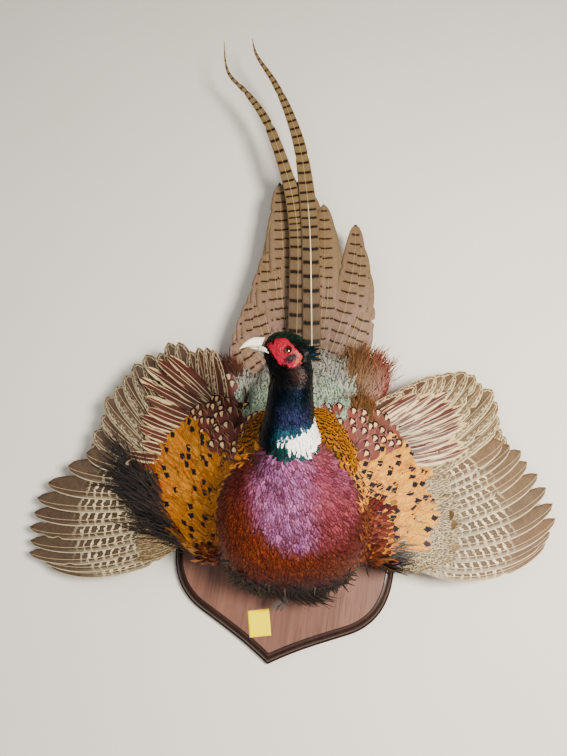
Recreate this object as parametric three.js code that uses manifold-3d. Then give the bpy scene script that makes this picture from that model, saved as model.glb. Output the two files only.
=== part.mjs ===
// A cock ring-necked pheasant, mounted in flight on a shield plaque, lying on the plaque's back.
// Millimetres. +Z is out of the plaque's face, +Y runs up the plaque to its top, and the origin is
// the middle of the plaque's back. The bird has a frame of its own, turned a little on the plaque:
// there +Y runs from breast to tail, -X is the bird's right side, and +Z is its back.
import * as THREE from "three";
import { mergeVertices } from "three/addons/utils/BufferGeometryUtils.js";
import Module from "manifold-3d";

const wasm = await Module();
wasm.setup();

// ---- driving dimensions -------------------------------------------------------------------

const GAP = 0.3; // clearance between neighbouring pieces
const BIRD_TURN = THREE.MathUtils.degToRad(12); // the bird leans on its plaque by this much

const PLAQUE = {
  height: 345,
  halfWidth: 142.5,
  thickness: 19,
  edgeInset: 12.5, // how far the routed edge reaches in
  edgeFoot: 7, // the square foot under the routed edge
};
const TAG = { width: 27, height: 31, thickness: 0.6, at: [-17, -126], turn: 0.26 };

// Trunk sections along the bird: place along Y, middle in X, half width, floor and top.
const TRUNK = [
  { y: -90, x: 8, half: 16, low: 44, top: 62 },
  { y: -84, x: 7, half: 48, low: 28, top: 92 },
  { y: -68, x: 6, half: 72, low: 20.5, top: 122 },
  { y: -36, x: 6, half: 89, low: 19.3, top: 156 },
  { y: 0, x: 6, half: 94, low: 19.3, top: 177 },
  { y: 36, x: 6, half: 89, low: 19.3, top: 184 },
  { y: 72, x: 8, half: 77, low: 19.3, top: 172 },
  { y: 108, x: 11, half: 70, low: 19.3, top: 142 },
  { y: 146, x: 14, half: 66, low: 21, top: 108 },
  { y: 182, x: 20, half: 60, low: 29, top: 84 },
  { y: 206, x: 27, half: 50, low: 40, top: 71 },
  { y: 220, x: 31, half: 36, low: 47, top: 63 },
];
// Loose plumage at the sides of the rump, beside the root of the tail.
const FLUFF = {
  left: { at: [-72, 176, 58], half: [34, 40, 12], turn: -0.5 },
  right: { at: [104, 170, 60], half: [48, 44, 13], turn: 0.6 },
};

// Neck sections along its own curve, from inside the trunk to inside the head.
const NECK = [
  { at: [8, 34, 126], radius: 60 },
  { at: [9, 58, 154], radius: 49 },
  { at: [11, 84, 183], radius: 34 },
  { at: [14, 106, 206], radius: 27 },
  { at: [17, 128, 224], radius: 25 },
  { at: [20, 146, 236], radius: 21 },
];
const NECK_CUT = 0.42; // shares of the neck's curve where trunk, neck and head part
const HEAD_CUT = 0.84;

const HEAD = {
  at: [17, 155, 238],
  pitch: THREE.MathUtils.degToRad(16), // the bill is raised by this much
  forward: 3.5, // the skull's middle from there
  length: 26, // half sizes: fore and aft, crown to throat, side to side
  height: 22,
  width: 17,
  throat: { forward: 4, up: -11, half: [20, 19, 13] },
  eye: { forward: 1, up: -3.4, out: 11.6, radius: 5.4 },
  face: { forward: 3.5, up: -6, length: 19, height: 12.8, thickness: 1.2, tilt: 0.23 },
  tuft: { back: 19, up: 1.5, out: 9, length: 15, radius: 3.2 },
};
// The bill's edges over its length: how far up it starts, how much it falls, and how much it hooks.
const BILL = {
  base: 18.5,
  length: 33.5,
  width: 5.8,
  culmen: { start: 11.7, fall: 2.2, hook: 17 },
  gape: { start: -0.5, fall: 2.2, hook: 5.4 },
  chin: { start: -6.4, fall: -1.9, hook: 0 },
  lowerShare: 0.7,
};

// Wing arms with their coverts: sections outwards, out being the distance from the midline.
const ARMS = {
  left: [
    { out: 52, low: -34, high: 142, floor: 42, top: 134 },
    { out: 84, low: -56, high: 156, floor: 37, top: 114 },
    { out: 112, low: -44, high: 156, floor: 35, top: 90 },
    { out: 146, low: -24, high: 138, floor: 35, top: 72 },
    { out: 180, low: 6, high: 112, floor: 36, top: 58 },
    { out: 203, low: 46, high: 90, floor: 38, top: 50 },
  ],
  right: [
    { out: 52, low: -34, high: 142, floor: 42, top: 134 },
    { out: 90, low: -60, high: 150, floor: 36, top: 114 },
    { out: 120, low: -72, high: 146, floor: 32, top: 92 },
    { out: 152, low: -76, high: 128, floor: 30, top: 73 },
    { out: 182, low: -68, high: 98, floor: 32, top: 58 },
    { out: 204, low: -44, high: 60, floor: 36, top: 50 },
  ],
};

// The spread wings lie in a plane that falls away from the body.
const WING_PLANE = { out: 110, height: 58, fall: 0.17 };

// Fans of flight feathers. roots and tips are curves that the feathers' two ends are spread along,
// from the leading feather to the last. bow is the sideways bend as a share of the length, plus
// towards the leading edge, and each feather lies a step above the one before it.
const STACK_STEP = 0.5;
const FANS = {
  wing_left_hand: {
    count: 10,
    width: [22, 34],
    pointed: 0.7,
    bow: [0.1, 0],
    base: 0,
    roots: [[-128, -14], [-142, 10], [-148, 40], [-146, 66]],
    tips: [[-308, -36], [-339, -16], [-338, 22], [-324, 64], [-264, 104]],
  },
  wing_right_hand: {
    count: 10,
    width: [22, 34],
    pointed: 0.7,
    bow: [0.13, 0.02],
    base: 0,
    roots: [[140, -56], [152, -30], [158, 2], [156, 32]],
    tips: [[322, -42], [340, -10], [330, 34], [310, 70], [288, 88]],
  },
  wing_left_inner: {
    count: 13,
    width: [34, 36],
    pointed: 0.15,
    bow: [0.04, -0.03],
    base: 6,
    roots: [[-140, 62], [-112, 84], [-76, 110]],
    tips: [[-260, 116], [-236, 170], [-202, 212], [-158, 240], [-118, 236], [-88, 228]],
  },
  wing_right_inner: {
    count: 13,
    width: [34, 36],
    pointed: 0.15,
    bow: [0.04, -0.03],
    base: 6,
    roots: [[152, 30], [122, 66], [92, 104]],
    tips: [[292, 92], [284, 134], [266, 174], [228, 180], [190, 168], [156, 152]],
  },
};

// The tail: a graduated fan, and two long middle feathers over it. Tips from the outermost in.
const TAIL = {
  root: [30, 174],
  halfBase: 24,
  width: [34, 44],
  bow: 0.12,
  height: 47,
  left: [[-62, 244], [-48, 284], [-30, 322], [-9, 380], [15, 494], [30, 512]],
  right: [[124, 268], [130, 344], [122, 415], [78, 452], [62, 470], [48, 500]],
  long: {
    width: 25,
    left: {
      height: 64,
      line: [
        [20, 180], [29, 280], [36, 380], [35, 436], [26, 500],
        [3, 590], [-25, 648], [-56, 696], [-61, 757],
      ],
    },
    right: {
      height: 66.5,
      line: [
        [42, 180], [49, 290], [54, 390], [54, 460], [49, 540],
        [35, 609], [16, 667], [-9, 722], [-15, 757],
      ],
    },
  },
};
const VANE_THICKNESS = 1.2;

// Legs drawn back under the tail, with the toes trailing.
const LEG = {
  spread: 30, // from the bird's midline there
  midline: 24,
  thigh: [124, 42],
  hock: [160, 36],
  ankle: [226, 31],
  radius: 4.6,
  toe: { length: 44, radius: 3, claw: 11, curl: 13, spread: 0.4 },
};

const COLOURS = {
  plaque: 0x6d4334,
  tag: 0xf0df7a,
  trunk: 0x8a3f22,
  neck: 0x16262c,
  head: 0x14241f,
  bill: 0xe6dfc8,
  face: 0xc22a35,
  eye: 0x17100c,
  fluff: 0x9a6a44,
  arm: 0xb0672c,
  flight: 0xa08a6c,
  tail: 0xa38a5c,
  long: 0xb49a63,
  leg: 0x8d8474,
};

// ---- solids -------------------------------------------------------------------------------

const X = new THREE.Vector3(1, 0, 0);
const Y = new THREE.Vector3(0, 1, 0);
const Z = new THREE.Vector3(0, 0, 1);
const vector = (values) => new THREE.Vector3(...values);
const lerp = THREE.MathUtils.lerp;

// A closed geometry as a solid that can be joined and cut.
function solidOf(geometry) {
  const bare = geometry.clone();
  bare.deleteAttribute("normal");
  bare.deleteAttribute("uv");
  const merged = mergeVertices(bare, 1e-4);
  return new wasm.Manifold(
    new wasm.Mesh({
      numProp: 3,
      vertProperties: Float32Array.from(merged.attributes.position.array),
      triVerts: Uint32Array.from(merged.index.array),
    }),
  );
}

const joined = (solids) => solids.reduce((whole, solid) => whole.add(solid));

// The biggest of the bodies that a cut has left.
function mainBody(solid) {
  const bodies = solid.decompose();
  return bodies.reduce((best, body) => (body.volume() > best.volume() ? body : best));
}

// A closed body through rings of equally many points, with a fan over each end.
function loft(rings) {
  const around = rings[0].length;
  const places = rings.flat().flatMap((point) => point.toArray());
  const index = [];
  for (let i = 0; i + 1 < rings.length; i++) {
    for (let j = 0; j < around; j++) {
      const a = i * around + j;
      const b = i * around + ((j + 1) % around);
      index.push(a, b, b + around, a, b + around, a + around);
    }
  }
  for (const end of [0, rings.length - 1]) {
    const middle = rings[end].reduce((sum, point) => sum.add(point), new THREE.Vector3());
    places.push(...middle.divideScalar(around).toArray());
    const hub = places.length / 3 - 1;
    for (let j = 0; j < around; j++) {
      const a = end * around + j;
      const b = end * around + ((j + 1) % around);
      index.push(...(end ? [hub, a, b] : [hub, b, a]));
    }
  }
  const geometry = new THREE.BufferGeometry();
  geometry.setAttribute("position", new THREE.Float32BufferAttribute(places, 3));
  geometry.setIndex(index);
  const made = solidOf(geometry);
  if (made.volume() > 0) return made;
  for (let i = 0; i < index.length; i += 3) {
    [index[i + 1], index[i + 2]] = [index[i + 2], index[i + 1]];
  }
  geometry.setIndex(index);
  return solidOf(geometry);
}

// A superellipse of half sizes a and b about a middle, along two directions.
function ring(middle, across, up, a, b, around, power = 2.2) {
  const soften = (value) => Math.sign(value) * Math.abs(value) ** (2 / power);
  return Array.from({ length: around }, (_, j) => {
    const turn = (2 * Math.PI * j) / around;
    return middle
      .clone()
      .addScaledVector(across, a * soften(Math.cos(turn)))
      .addScaledVector(up, b * soften(Math.sin(turn)));
  });
}

// Sections with named sizes, drawn smooth through the ones given.
function smoothSections(sections, steps) {
  const keys = Object.keys(sections[0]);
  const columns = keys.map((key) => {
    const points = sections.map((section, i) => new THREE.Vector2(i, section[key]));
    return new THREE.SplineCurve(points);
  });
  return Array.from({ length: steps + 1 }, (_, i) =>
    Object.fromEntries(keys.map((key, k) => [key, columns[k].getPoint(i / steps).y])),
  );
}

// A round bar along a curve, its radius set by the share of the way.
function bar(points, radiusAt, steps, around = 7) {
  const curve = new THREE.CatmullRomCurve3(points.map(vector));
  const rings = Array.from({ length: steps + 1 }, (_, i) => {
    const ahead = curve.getTangent(i / steps);
    const side = new THREE.Vector3().crossVectors(Z, ahead).normalize();
    const up = new THREE.Vector3().crossVectors(ahead, side);
    const radius = radiusAt(i / steps);
    return ring(curve.getPoint(i / steps), side, up, radius, radius, around, 2);
  });
  return loft(rings);
}

function ball(middle, radius, around = 10, rows = 8) {
  return solidOf(new THREE.SphereGeometry(radius, around, rows).translate(...middle));
}

// ---- the plaque ---------------------------------------------------------------------------

function shieldOutline() {
  const { height, halfWidth } = PLAQUE;
  const foot = -height / 2;
  const half = new THREE.Path();
  half.moveTo(0, foot);
  half.bezierCurveTo(34, foot + 22, 60, foot + 33, 96, foot + 50);
  half.bezierCurveTo(128, foot + 66, halfWidth, foot + 94, halfWidth, foot + 132);
  half.bezierCurveTo(halfWidth, foot + 196, halfWidth - 14, foot + 232, halfWidth - 12, foot + 284);
  half.bezierCurveTo(halfWidth - 8, foot + 312, 112, foot + 314, 100, foot + 332);
  half.bezierCurveTo(70, foot + 326, 32, foot + 330, 0, foot + height);
  const right = half.getPoints(5);
  const left = right.slice(1, -1).reverse();
  return [...right, ...left.map((point) => new THREE.Vector2(-point.x, point.y))];
}

// The outline drawn in by a distance, each point along the mean normal of its two sides.
function drawnIn(outline, inset) {
  return outline.map((point, i) => {
    const before = outline[(i + outline.length - 1) % outline.length];
    const after = outline[(i + 1) % outline.length];
    const a = point.clone().sub(before).normalize();
    const b = after.clone().sub(point).normalize();
    const inward = new THREE.Vector2(-(a.y + b.y), a.x + b.x).normalize();
    const mitre = Math.min(1.6, 1 / Math.max(0.3, inward.dot(new THREE.Vector2(-a.y, a.x))));
    return point.clone().addScaledVector(inward, inset * mitre);
  });
}

function plaqueSolid() {
  const { thickness, edgeInset, edgeFoot } = PLAQUE;
  const outline = shieldOutline();
  const coveSteps = 3;
  const ledge = 2.4; // the little step where the cove starts
  const bead = 1.6; // the eased edge of the face
  const profile = [[0, 1.2], [1.2, 0], [edgeFoot, 0], [edgeFoot + 1, ledge]];
  for (let i = 1; i <= coveSteps; i++) {
    const turn = (Math.PI / 2) * (i / coveSteps);
    profile.push([
      edgeFoot + 1 + (thickness - edgeFoot - 1 - bead) * Math.sin(turn),
      ledge + (edgeInset - ledge - bead) * (1 - Math.cos(turn)),
    ]);
  }
  profile.push([thickness, edgeInset]);
  return loft(
    profile.map(([z, inset]) =>
      drawnIn(outline, inset).map((point) => new THREE.Vector3(point.x, point.y, z)),
    ),
  );
}

function tagSolid() {
  const { width, height, thickness, at, turn } = TAG;
  const geometry = new THREE.BoxGeometry(width, height, thickness);
  geometry.rotateZ(turn);
  return solidOf(geometry.translate(...at, PLAQUE.thickness + GAP + thickness / 2));
}

// ---- trunk, neck and head -----------------------------------------------------------------

function trunkSolid(grow = 0) {
  const sections = smoothSections(TRUNK, 15);
  return loft(
    sections.map(({ y, x, half, low, top }, i) => {
      const end = i === 0 ? -grow : i === sections.length - 1 ? grow : 0;
      const middle = new THREE.Vector3(x, y + end, (low + top) / 2);
      return ring(middle, Z, X, (top - low) / 2 + grow, half + grow, 24, 2.25);
    }),
  );
}

function fluffSolid(side, grow = 0) {
  const { at, half, turn } = FLUFF[side];
  const geometry = new THREE.SphereGeometry(1, 12, 8);
  geometry.scale(...half.map((size) => size + grow));
  return solidOf(geometry.rotateZ(turn).translate(...at));
}

const neckCurve = new THREE.CatmullRomCurve3(NECK.map(({ at }) => vector(at)));

// The middle of the neck at a share of its curve, with its directions.
function neckPlace(share) {
  const ahead = neckCurve.getTangent(share);
  const side = X.clone().addScaledVector(ahead, -ahead.x).normalize();
  const up = new THREE.Vector3().crossVectors(ahead, side);
  return { middle: neckCurve.getPoint(share), ahead, side, up };
}

function neckSolid(grow = 0) {
  const steps = 9;
  const radii = smoothSections(NECK.map(({ radius }) => ({ radius })), steps);
  const rings = radii.map(({ radius }, i) => {
    const { middle, side, up } = neckPlace(i / steps);
    return ring(middle, side, up, radius + grow, radius + grow, 18, 2);
  });
  return loft(rings);
}

// A block around the neck's line that takes in everything beyond a share of it.
function beyondNeck(share, reach, half, grow = 0) {
  const { middle, ahead, side, up } = neckPlace(share);
  const ends = [-grow, reach].map((along) => middle.clone().addScaledVector(ahead, along));
  return loft(ends.map((end) => ring(end, side, up, half + grow, half + grow, 12, 8)));
}

// From the head's own directions (forward, up, out to its left side) to the bird's frame.
const headForward = new THREE.Vector3(-Math.cos(HEAD.pitch), Math.sin(HEAD.pitch), 0);
const headUp = new THREE.Vector3(Math.sin(HEAD.pitch), Math.cos(HEAD.pitch), 0);
function onHead(forward, up, out) {
  return vector(HEAD.at)
    .addScaledVector(headForward, forward)
    .addScaledVector(headUp, up)
    .addScaledVector(Z, out);
}

// The skull has a full forehead over the bill, and narrows to it.
function skullSolid(grow = 0) {
  const steps = 9;
  const fullness = 2.5;
  const rings = Array.from({ length: steps + 1 }, (_, i) => {
    const along = Math.cos(Math.PI * (0.03 + (0.94 * i) / steps));
    const swell = (1 - Math.abs(along) ** fullness) ** (1 / fullness);
    const middle = onHead(HEAD.forward + along * (HEAD.length + grow), 1 + 1.2 * along, 0);
    const tall = (HEAD.height + grow) * swell;
    const wide = (HEAD.width + grow) * swell * (1 - 0.25 * Math.max(0, along));
    return ring(middle, headUp, Z, tall, wide, 14, 2.1);
  });
  return loft(rings);
}

function throatSolid(grow = 0) {
  const { forward, up, half } = HEAD.throat;
  const geometry = new THREE.SphereGeometry(1, 12, 8);
  geometry.scale(...half.map((size) => size + grow));
  return solidOf(geometry.translate(...onHead(forward, up, 0).toArray()));
}

function tuftSolid(side) {
  const { back, up, out, length, radius } = HEAD.tuft;
  const root = onHead(-back + 9, up, side * out);
  const tip = onHead(-back - length * 0.8, up + length * 0.1, side * (out + 4));
  const middle = root.clone().lerp(tip, 0.5);
  const line = [root, middle, tip].map((point) => point.toArray());
  return bar(line, (t) => radius * (1 - 0.85 * t), 2, 6);
}

const eyePlace = (side) => onHead(HEAD.eye.forward, HEAD.eye.up, side * HEAD.eye.out).toArray();

// The bare red face: a thin pad on the side of the head.
function faceSolid(side, grow = 0) {
  const { forward, up, length, height, thickness, tilt } = HEAD.face;
  const [along, above] = [headForward, headUp].map((way) => way.clone().applyAxisAngle(Z, -tilt));
  const post = loft(
    [5 - grow, 30].map((out) => {
      const middle = onHead(forward, up, side * out);
      return ring(middle, along, above, length + grow, height + grow, 14, 2.4);
    }),
  );
  return skullSolid(thickness + grow).intersect(post).subtract(skullSolid(-0.4 - grow));
}

// One half of the bill: a deep horn that hooks down at its tip, or the chin under it.
function billSolid(lower) {
  const { base, length, width, culmen, gape, chin, lowerShare } = BILL;
  const edge = ({ start, fall, hook }, t) => start - fall * t - hook * t ** 5;
  const reach = lower ? length * lowerShare : length;
  const steps = 8;
  const rings = Array.from({ length: steps + 1 }, (_, i) => {
    const t = i / steps;
    const top = lower ? edge(gape, t * lowerShare) - 2 * GAP : edge(culmen, t);
    const bottom = lower ? edge(chin, t) : edge(gape, t);
    const slim = Math.sqrt(Math.max(0, 1 - t ** 1.8)) * 0.92 + 0.08;
    const tall = Math.max(0.35, (top - bottom) / 2);
    const middle = onHead(base + t * reach, (top + bottom) / 2, 0);
    return ring(middle, headUp, Z, tall, width * slim * (lower ? 0.86 : 1), 10, 2.1);
  });
  return loft(rings);
}

// ---- wings and tail -----------------------------------------------------------------------

function armSolid(side, grow = 0) {
  const sign = side === "left" ? -1 : 1;
  const sections = smoothSections(ARMS[side], 7);
  return loft(
    sections.map(({ out, low, high, floor, top }, i) => {
      const end = i === sections.length - 1 ? grow : 0;
      const middle = new THREE.Vector3(sign * (out + end), (low + high) / 2, (floor + top) / 2);
      return ring(middle, Y, Z, (high - low) / 2 + grow, (top - floor) / 2 + grow, 16, 2.1);
    }),
  );
}

// A slab of four corners a station along a line in plan, laid on a surface.
function slab(line, steps, halfAt, heightAt, grow) {
  return loft(
    steps.map((t) => {
      const middle = line.getPoint(t);
      const ahead = line.getTangent(t);
      if (t === 1) middle.addScaledVector(ahead, grow);
      const side = new THREE.Vector2(ahead.y, -ahead.x);
      const half = halfAt(t) + grow;
      const rise = VANE_THICKNESS / 2 + grow;
      return [[1, 1], [-1, 1], [-1, -1], [1, -1]].map(([s, u]) => {
        const corner = middle.clone().addScaledVector(side, s * half);
        return new THREE.Vector3(corner.x, corner.y, heightAt(corner) + u * rise);
      });
    }),
  );
}

// The share of its full width that a vane has along its length.
function vaneShare(t, pointed) {
  const opening = Math.min(1, 0.35 + 2.2 * t);
  const start = 0.9 - 0.42 * pointed;
  const closing = t < start ? 1 : Math.sqrt(Math.max(0, 1 - ((t - start) / (1 - start)) ** 2));
  return Math.max(0.06, opening * closing);
}

// A feather's line in plan from root to tip, bent to one side.
function featherLine(root, tip, bend) {
  const along = tip.clone().sub(root);
  const across = new THREE.Vector2(along.y, -along.x);
  const middle = root.clone().lerp(tip, 0.5).addScaledVector(across, 2 * bend);
  return new THREE.QuadraticBezierCurve(root, middle, tip);
}

const planCurve = (points) => new THREE.SplineCurve(points.map((point) => new THREE.Vector2(...point)));

function fanSolid(name, grow = 0) {
  const { count, width, pointed, bow, base, roots, tips } = FANS[name];
  const sign = name.includes("left") ? -1 : 1;
  const [rootCurve, tipCurve] = [planCurve(roots), planCurve(tips)];
  const { out, height, fall } = WING_PLANE;
  const feathers = Array.from({ length: count }, (_, i) => {
    const t = i / (count - 1);
    const line = featherLine(rootCurve.getPoint(t), tipCurve.getPoint(t), sign * lerp(...bow, t));
    const lift = height + (base + i) * STACK_STEP;
    const heightAt = ({ x }) => lift - fall * (Math.abs(x) - out);
    const halfAt = (share) => (lerp(...width, t) / 2) * vaneShare(share, pointed);
    return slab(line, [0, 0.5, 0.8, 0.94, 1], halfAt, heightAt, grow);
  });
  return joined(feathers);
}

function tailFanSolid(grow = 0) {
  const { root, halfBase, width, bow, height, left, right } = TAIL;
  const feathers = [left, right].flatMap((tips) => {
    const sign = tips === left ? -1 : 1;
    return tips.map((tip, i) => {
      const t = i / (tips.length - 1);
      const foot = new THREE.Vector2(root[0] + sign * halfBase * (1 - 0.8 * t), root[1]);
      const line = featherLine(foot, new THREE.Vector2(...tip), sign * bow * (1 - t));
      const halfAt = (share) => (lerp(...width, t) / 2) * vaneShare(share, 0.85);
      const heightAt = () => height + i * STACK_STEP;
      return slab(line, [0, 0.4, 0.65, 0.86, 1], halfAt, heightAt, grow);
    });
  });
  return joined(feathers);
}

function longFeatherSolid({ line, height }, grow = 0) {
  const steps = Array.from({ length: 13 }, (_, i) => i / 12);
  const halfAt = (t) => (TAIL.long.width / 2) * Math.max(0.08, Math.min(1, 1.5 * (1 - t)));
  return slab(planCurve(line), steps, halfAt, () => height, grow);
}

// ---- legs ---------------------------------------------------------------------------------

function legSolid(side) {
  const { spread, midline, thigh, hock, ankle, radius } = LEG;
  const x = midline + side * spread;
  const path = [[x, ...thigh], [x, ...hock], [x + side * 2, ...ankle]];
  const shank = bar(path, (t) => (t < 0.4 ? radius * (2.3 - 3.1 * t) : radius * 1.06), 7, 8);
  const spurRoot = vector([x, ankle[0] - 24, ankle[1] - 2]);
  const spurTip = vector([x, ankle[0] - 12, ankle[1] - 14]);
  const spur = [spurRoot, spurRoot.clone().lerp(spurTip, 0.5), spurTip];
  return shank.add(bar(spur.map((point) => point.toArray()), (t) => 3.2 - 2.7 * t, 2, 5));
}

function footSolid(side, grow = 0) {
  const { spread, midline, ankle, toe } = LEG;
  const heel = vector([midline + side * (spread + 2), ankle[0] + 5.6, ankle[1]]);
  const toes = [-1, 0, 1].map((place) => ({ turn: place * toe.spread, share: place ? 0.86 : 1 }));
  toes.push({ turn: Math.PI - 0.6, share: 0.4 });
  const digits = toes.map(({ turn, share }) => {
    const total = (toe.length + toe.claw) * share;
    const line = [0, 0.35, 0.7, 1].map((t) => [
      heel.x + Math.sin(turn) * total * t,
      heel.y + Math.cos(turn) * total * t,
      heel.z - (share < 0.5 ? 12 * t : toe.curl * share * t * t),
    ]);
    return bar(line, (t) => toe.radius * Math.min(1, 3.6 * (1.1 - t)) + grow, 4, 5);
  });
  return joined([ball(heel.toArray(), 5 + grow, 8, 5), ...digits]);
}

// ---- the parts, with thin cuts between them -----------------------------------------------

const parts = []; // name, solid, colour, roughness
const bodyClear = joined([trunkSolid(GAP), fluffSolid("left", GAP), fluffSolid("right", GAP)]);

const skull = skullSolid().add(throatSolid());
const flesh = joined([trunkSolid(), neckSolid(), skull, tuftSolid(1), tuftSolid(-1)]);
const neck = flesh.intersect(beyondNeck(NECK_CUT, 140, 60)).subtract(beyondNeck(HEAD_CUT, 90, 48, GAP));
let head = flesh.intersect(beyondNeck(HEAD_CUT, 90, 48));
for (const [name, sign] of [["left", 1], ["right", -1]]) {
  const { radius } = HEAD.eye;
  const place = eyePlace(sign);
  const face = faceSolid(sign).subtract(ball(place, radius + GAP)).subtract(neckSolid(GAP));
  head = head.subtract(faceSolid(sign, GAP)).subtract(ball(place, radius + 2 * GAP));
  parts.push([`eye_${name}`, ball(place, radius), COLOURS.eye, 0.1]);
  parts.push([`face_${name}`, face, COLOURS.face, 0.6]);
}
parts.push(["trunk", flesh.subtract(beyondNeck(NECK_CUT, 140, 60, GAP)), COLOURS.trunk, 0.8]);
parts.push(["neck", neck, COLOURS.neck, 0.6]);
parts.push(["head", head, COLOURS.head, 0.6]);

const behindBill = joined([skullSolid(GAP), throatSolid(GAP), neckSolid(GAP)]);
parts.push(["bill_upper", billSolid(false).subtract(behindBill), COLOURS.bill, 0.4]);
parts.push(["bill_lower", billSolid(true).subtract(behindBill), COLOURS.bill, 0.4]);

for (const side of ["left", "right"]) {
  parts.push([`rump_${side}`, fluffSolid(side).subtract(trunkSolid(GAP)), COLOURS.fluff, 0.9]);
  const behind = bodyClear.add(armSolid(side, GAP));
  const hand = fanSolid(`wing_${side}_hand`);
  const inner = fanSolid(`wing_${side}_inner`).subtract(fanSolid(`wing_${side}_hand`, GAP));
  parts.push([`wing_${side}_arm`, armSolid(side).subtract(bodyClear), COLOURS.arm, 0.8]);
  parts.push([`wing_${side}_hand`, hand.subtract(behind), COLOURS.flight, 0.7]);
  parts.push([`wing_${side}_inner`, inner.subtract(behind), COLOURS.flight, 0.7]);
}

const behindLong = bodyClear.add(tailFanSolid(GAP));
const longLeft = longFeatherSolid(TAIL.long.left);
const longRight = longFeatherSolid(TAIL.long.right).subtract(longFeatherSolid(TAIL.long.left, GAP));
parts.push(["tail_fan", tailFanSolid().subtract(bodyClear), COLOURS.tail, 0.7]);
parts.push(["tail_long_left", longLeft.subtract(behindLong), COLOURS.long, 0.7]);
parts.push(["tail_long_right", longRight.subtract(behindLong), COLOURS.long, 0.7]);

for (const [name, sign] of [["left", -1], ["right", 1]]) {
  const leg = legSolid(sign).subtract(bodyClear).subtract(footSolid(sign, GAP));
  parts.push([`leg_${name}`, leg, COLOURS.leg, 0.7]);
  parts.push([`foot_${name}`, footSolid(sign), COLOURS.leg, 0.7]);
}

// ---- the group ----------------------------------------------------------------------------

const group = new THREE.Group();
group.name = "pheasant_mount";

function addPart(name, solid, colour, roughness, turn) {
  const { numProp, numVert, vertProperties, triVerts } = mainBody(solid).getMesh();
  const places = new Float32Array(numVert * 3);
  for (let i = 0; i < numVert; i++) {
    places.set(vertProperties.subarray(i * numProp, i * numProp + 3), i * 3);
  }
  const geometry = new THREE.BufferGeometry();
  geometry.setAttribute("position", new THREE.BufferAttribute(places, 3));
  geometry.setIndex(new THREE.BufferAttribute(Uint32Array.from(triVerts), 1));
  geometry.rotateZ(turn);
  geometry.computeVertexNormals();
  const mesh = new THREE.Mesh(geometry, new THREE.MeshStandardMaterial({ color: colour, roughness }));
  mesh.name = name;
  group.add(mesh);
}

addPart("plaque", plaqueSolid(), COLOURS.plaque, 0.5, 0);
addPart("tag", tagSolid(), COLOURS.tag, 0.8, 0);
for (const [name, solid, colour, roughness] of parts) {
  addPart(name, solid, colour, roughness, BIRD_TURN);
}

export default group;
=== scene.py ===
# %% [markdown]
# # A cock pheasant on its plaque
# A mounted bird is a shaped body with the real skin drawn over it. Each feather grows from its own
# place on that skin and lies over the next one behind it, like a roof tile. This lesson follows
# the same order: one skin over the whole body, then the small feathers in their tracts, then the
# big feathers of wings and tail, and last the bare parts, the eyes, the bill and the board.
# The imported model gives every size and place, so nothing is fitted by eye afterwards.

# %% Load the frame
import math
from types import SimpleNamespace

import bmesh
import bpy
import numpy as np
from mathutils import Matrix, Vector
from mathutils.bvhtree import BVHTree


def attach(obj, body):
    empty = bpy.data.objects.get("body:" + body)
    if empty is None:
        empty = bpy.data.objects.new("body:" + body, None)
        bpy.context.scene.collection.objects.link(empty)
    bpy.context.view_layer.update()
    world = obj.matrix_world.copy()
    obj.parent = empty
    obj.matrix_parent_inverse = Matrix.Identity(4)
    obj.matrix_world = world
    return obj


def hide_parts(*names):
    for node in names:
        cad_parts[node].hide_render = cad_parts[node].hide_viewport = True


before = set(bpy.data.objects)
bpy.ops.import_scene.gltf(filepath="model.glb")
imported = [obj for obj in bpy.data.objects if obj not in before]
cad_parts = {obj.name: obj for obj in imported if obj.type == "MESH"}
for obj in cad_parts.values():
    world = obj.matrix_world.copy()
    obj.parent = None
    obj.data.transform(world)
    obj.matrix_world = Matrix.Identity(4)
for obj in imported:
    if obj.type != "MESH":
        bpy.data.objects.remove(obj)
bpy.context.view_layer.update()

# %% [markdown]
# ## Two frames
# The board has its own frame, in metres, and the bird leans on it by 12 degrees. Working in the
# bird's own millimetres keeps every feather measure readable: +Y runs from breast to tail, -X is
# the bird's right side, and +Z is its back. One small matrix takes whole arrays across.

# %% From the bird's millimetres to the board's metres
MM = 0.001
BIRD_TURN = math.radians(12)
TURNED = np.array([
    [math.cos(BIRD_TURN), math.sin(BIRD_TURN), 0],
    [-math.sin(BIRD_TURN), math.cos(BIRD_TURN), 0],
    [0, 0, 1],
])
X, Y, Z = np.eye(3)
rng = np.random.default_rng(1758)


def to_board(places):
    return np.asarray(places, float) @ TURNED * MM


def to_bird(places):
    return np.asarray(places, float) / MM @ TURNED.T


def unit(vectors):
    return vectors / np.maximum(np.linalg.norm(vectors, axis=-1, keepdims=True), 1e-9)


def soft(values, low, high):
    """A smooth step from 0 at low to 1 at high."""
    share = np.clip((np.asarray(values, float) - low) / (high - low), 0, 1)
    return share * share * (3 - 2 * share)


def spline(points, share):
    """Points on a smooth curve through the given ones; share runs from 0 to 1."""
    points = np.asarray(points, float)
    last = len(points) - 1
    place = np.clip(np.asarray(share, float), 0, 1) * last
    start = np.minimum(place.astype(int), last - 1)
    part = (place - start)[..., None]
    a, b, c, d = (points[np.clip(start + step, 0, last)] for step in (-1, 0, 1, 2))
    bend = 2 * a - 5 * b + 4 * c - d
    return 0.5 * (2 * b + (c - a) * part + bend * part**2 + (3 * b - a - 3 * c + d) * part**3)


print("bird frame turned by", round(math.degrees(BIRD_TURN)), "degrees")

# %% [markdown]
# ## Where head and neck are
# The tracts of feathers are told by where they grow: how far along the neck, and how far forward,
# up and out on the head. Both follow from the same few places that the solids were made from.

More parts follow.
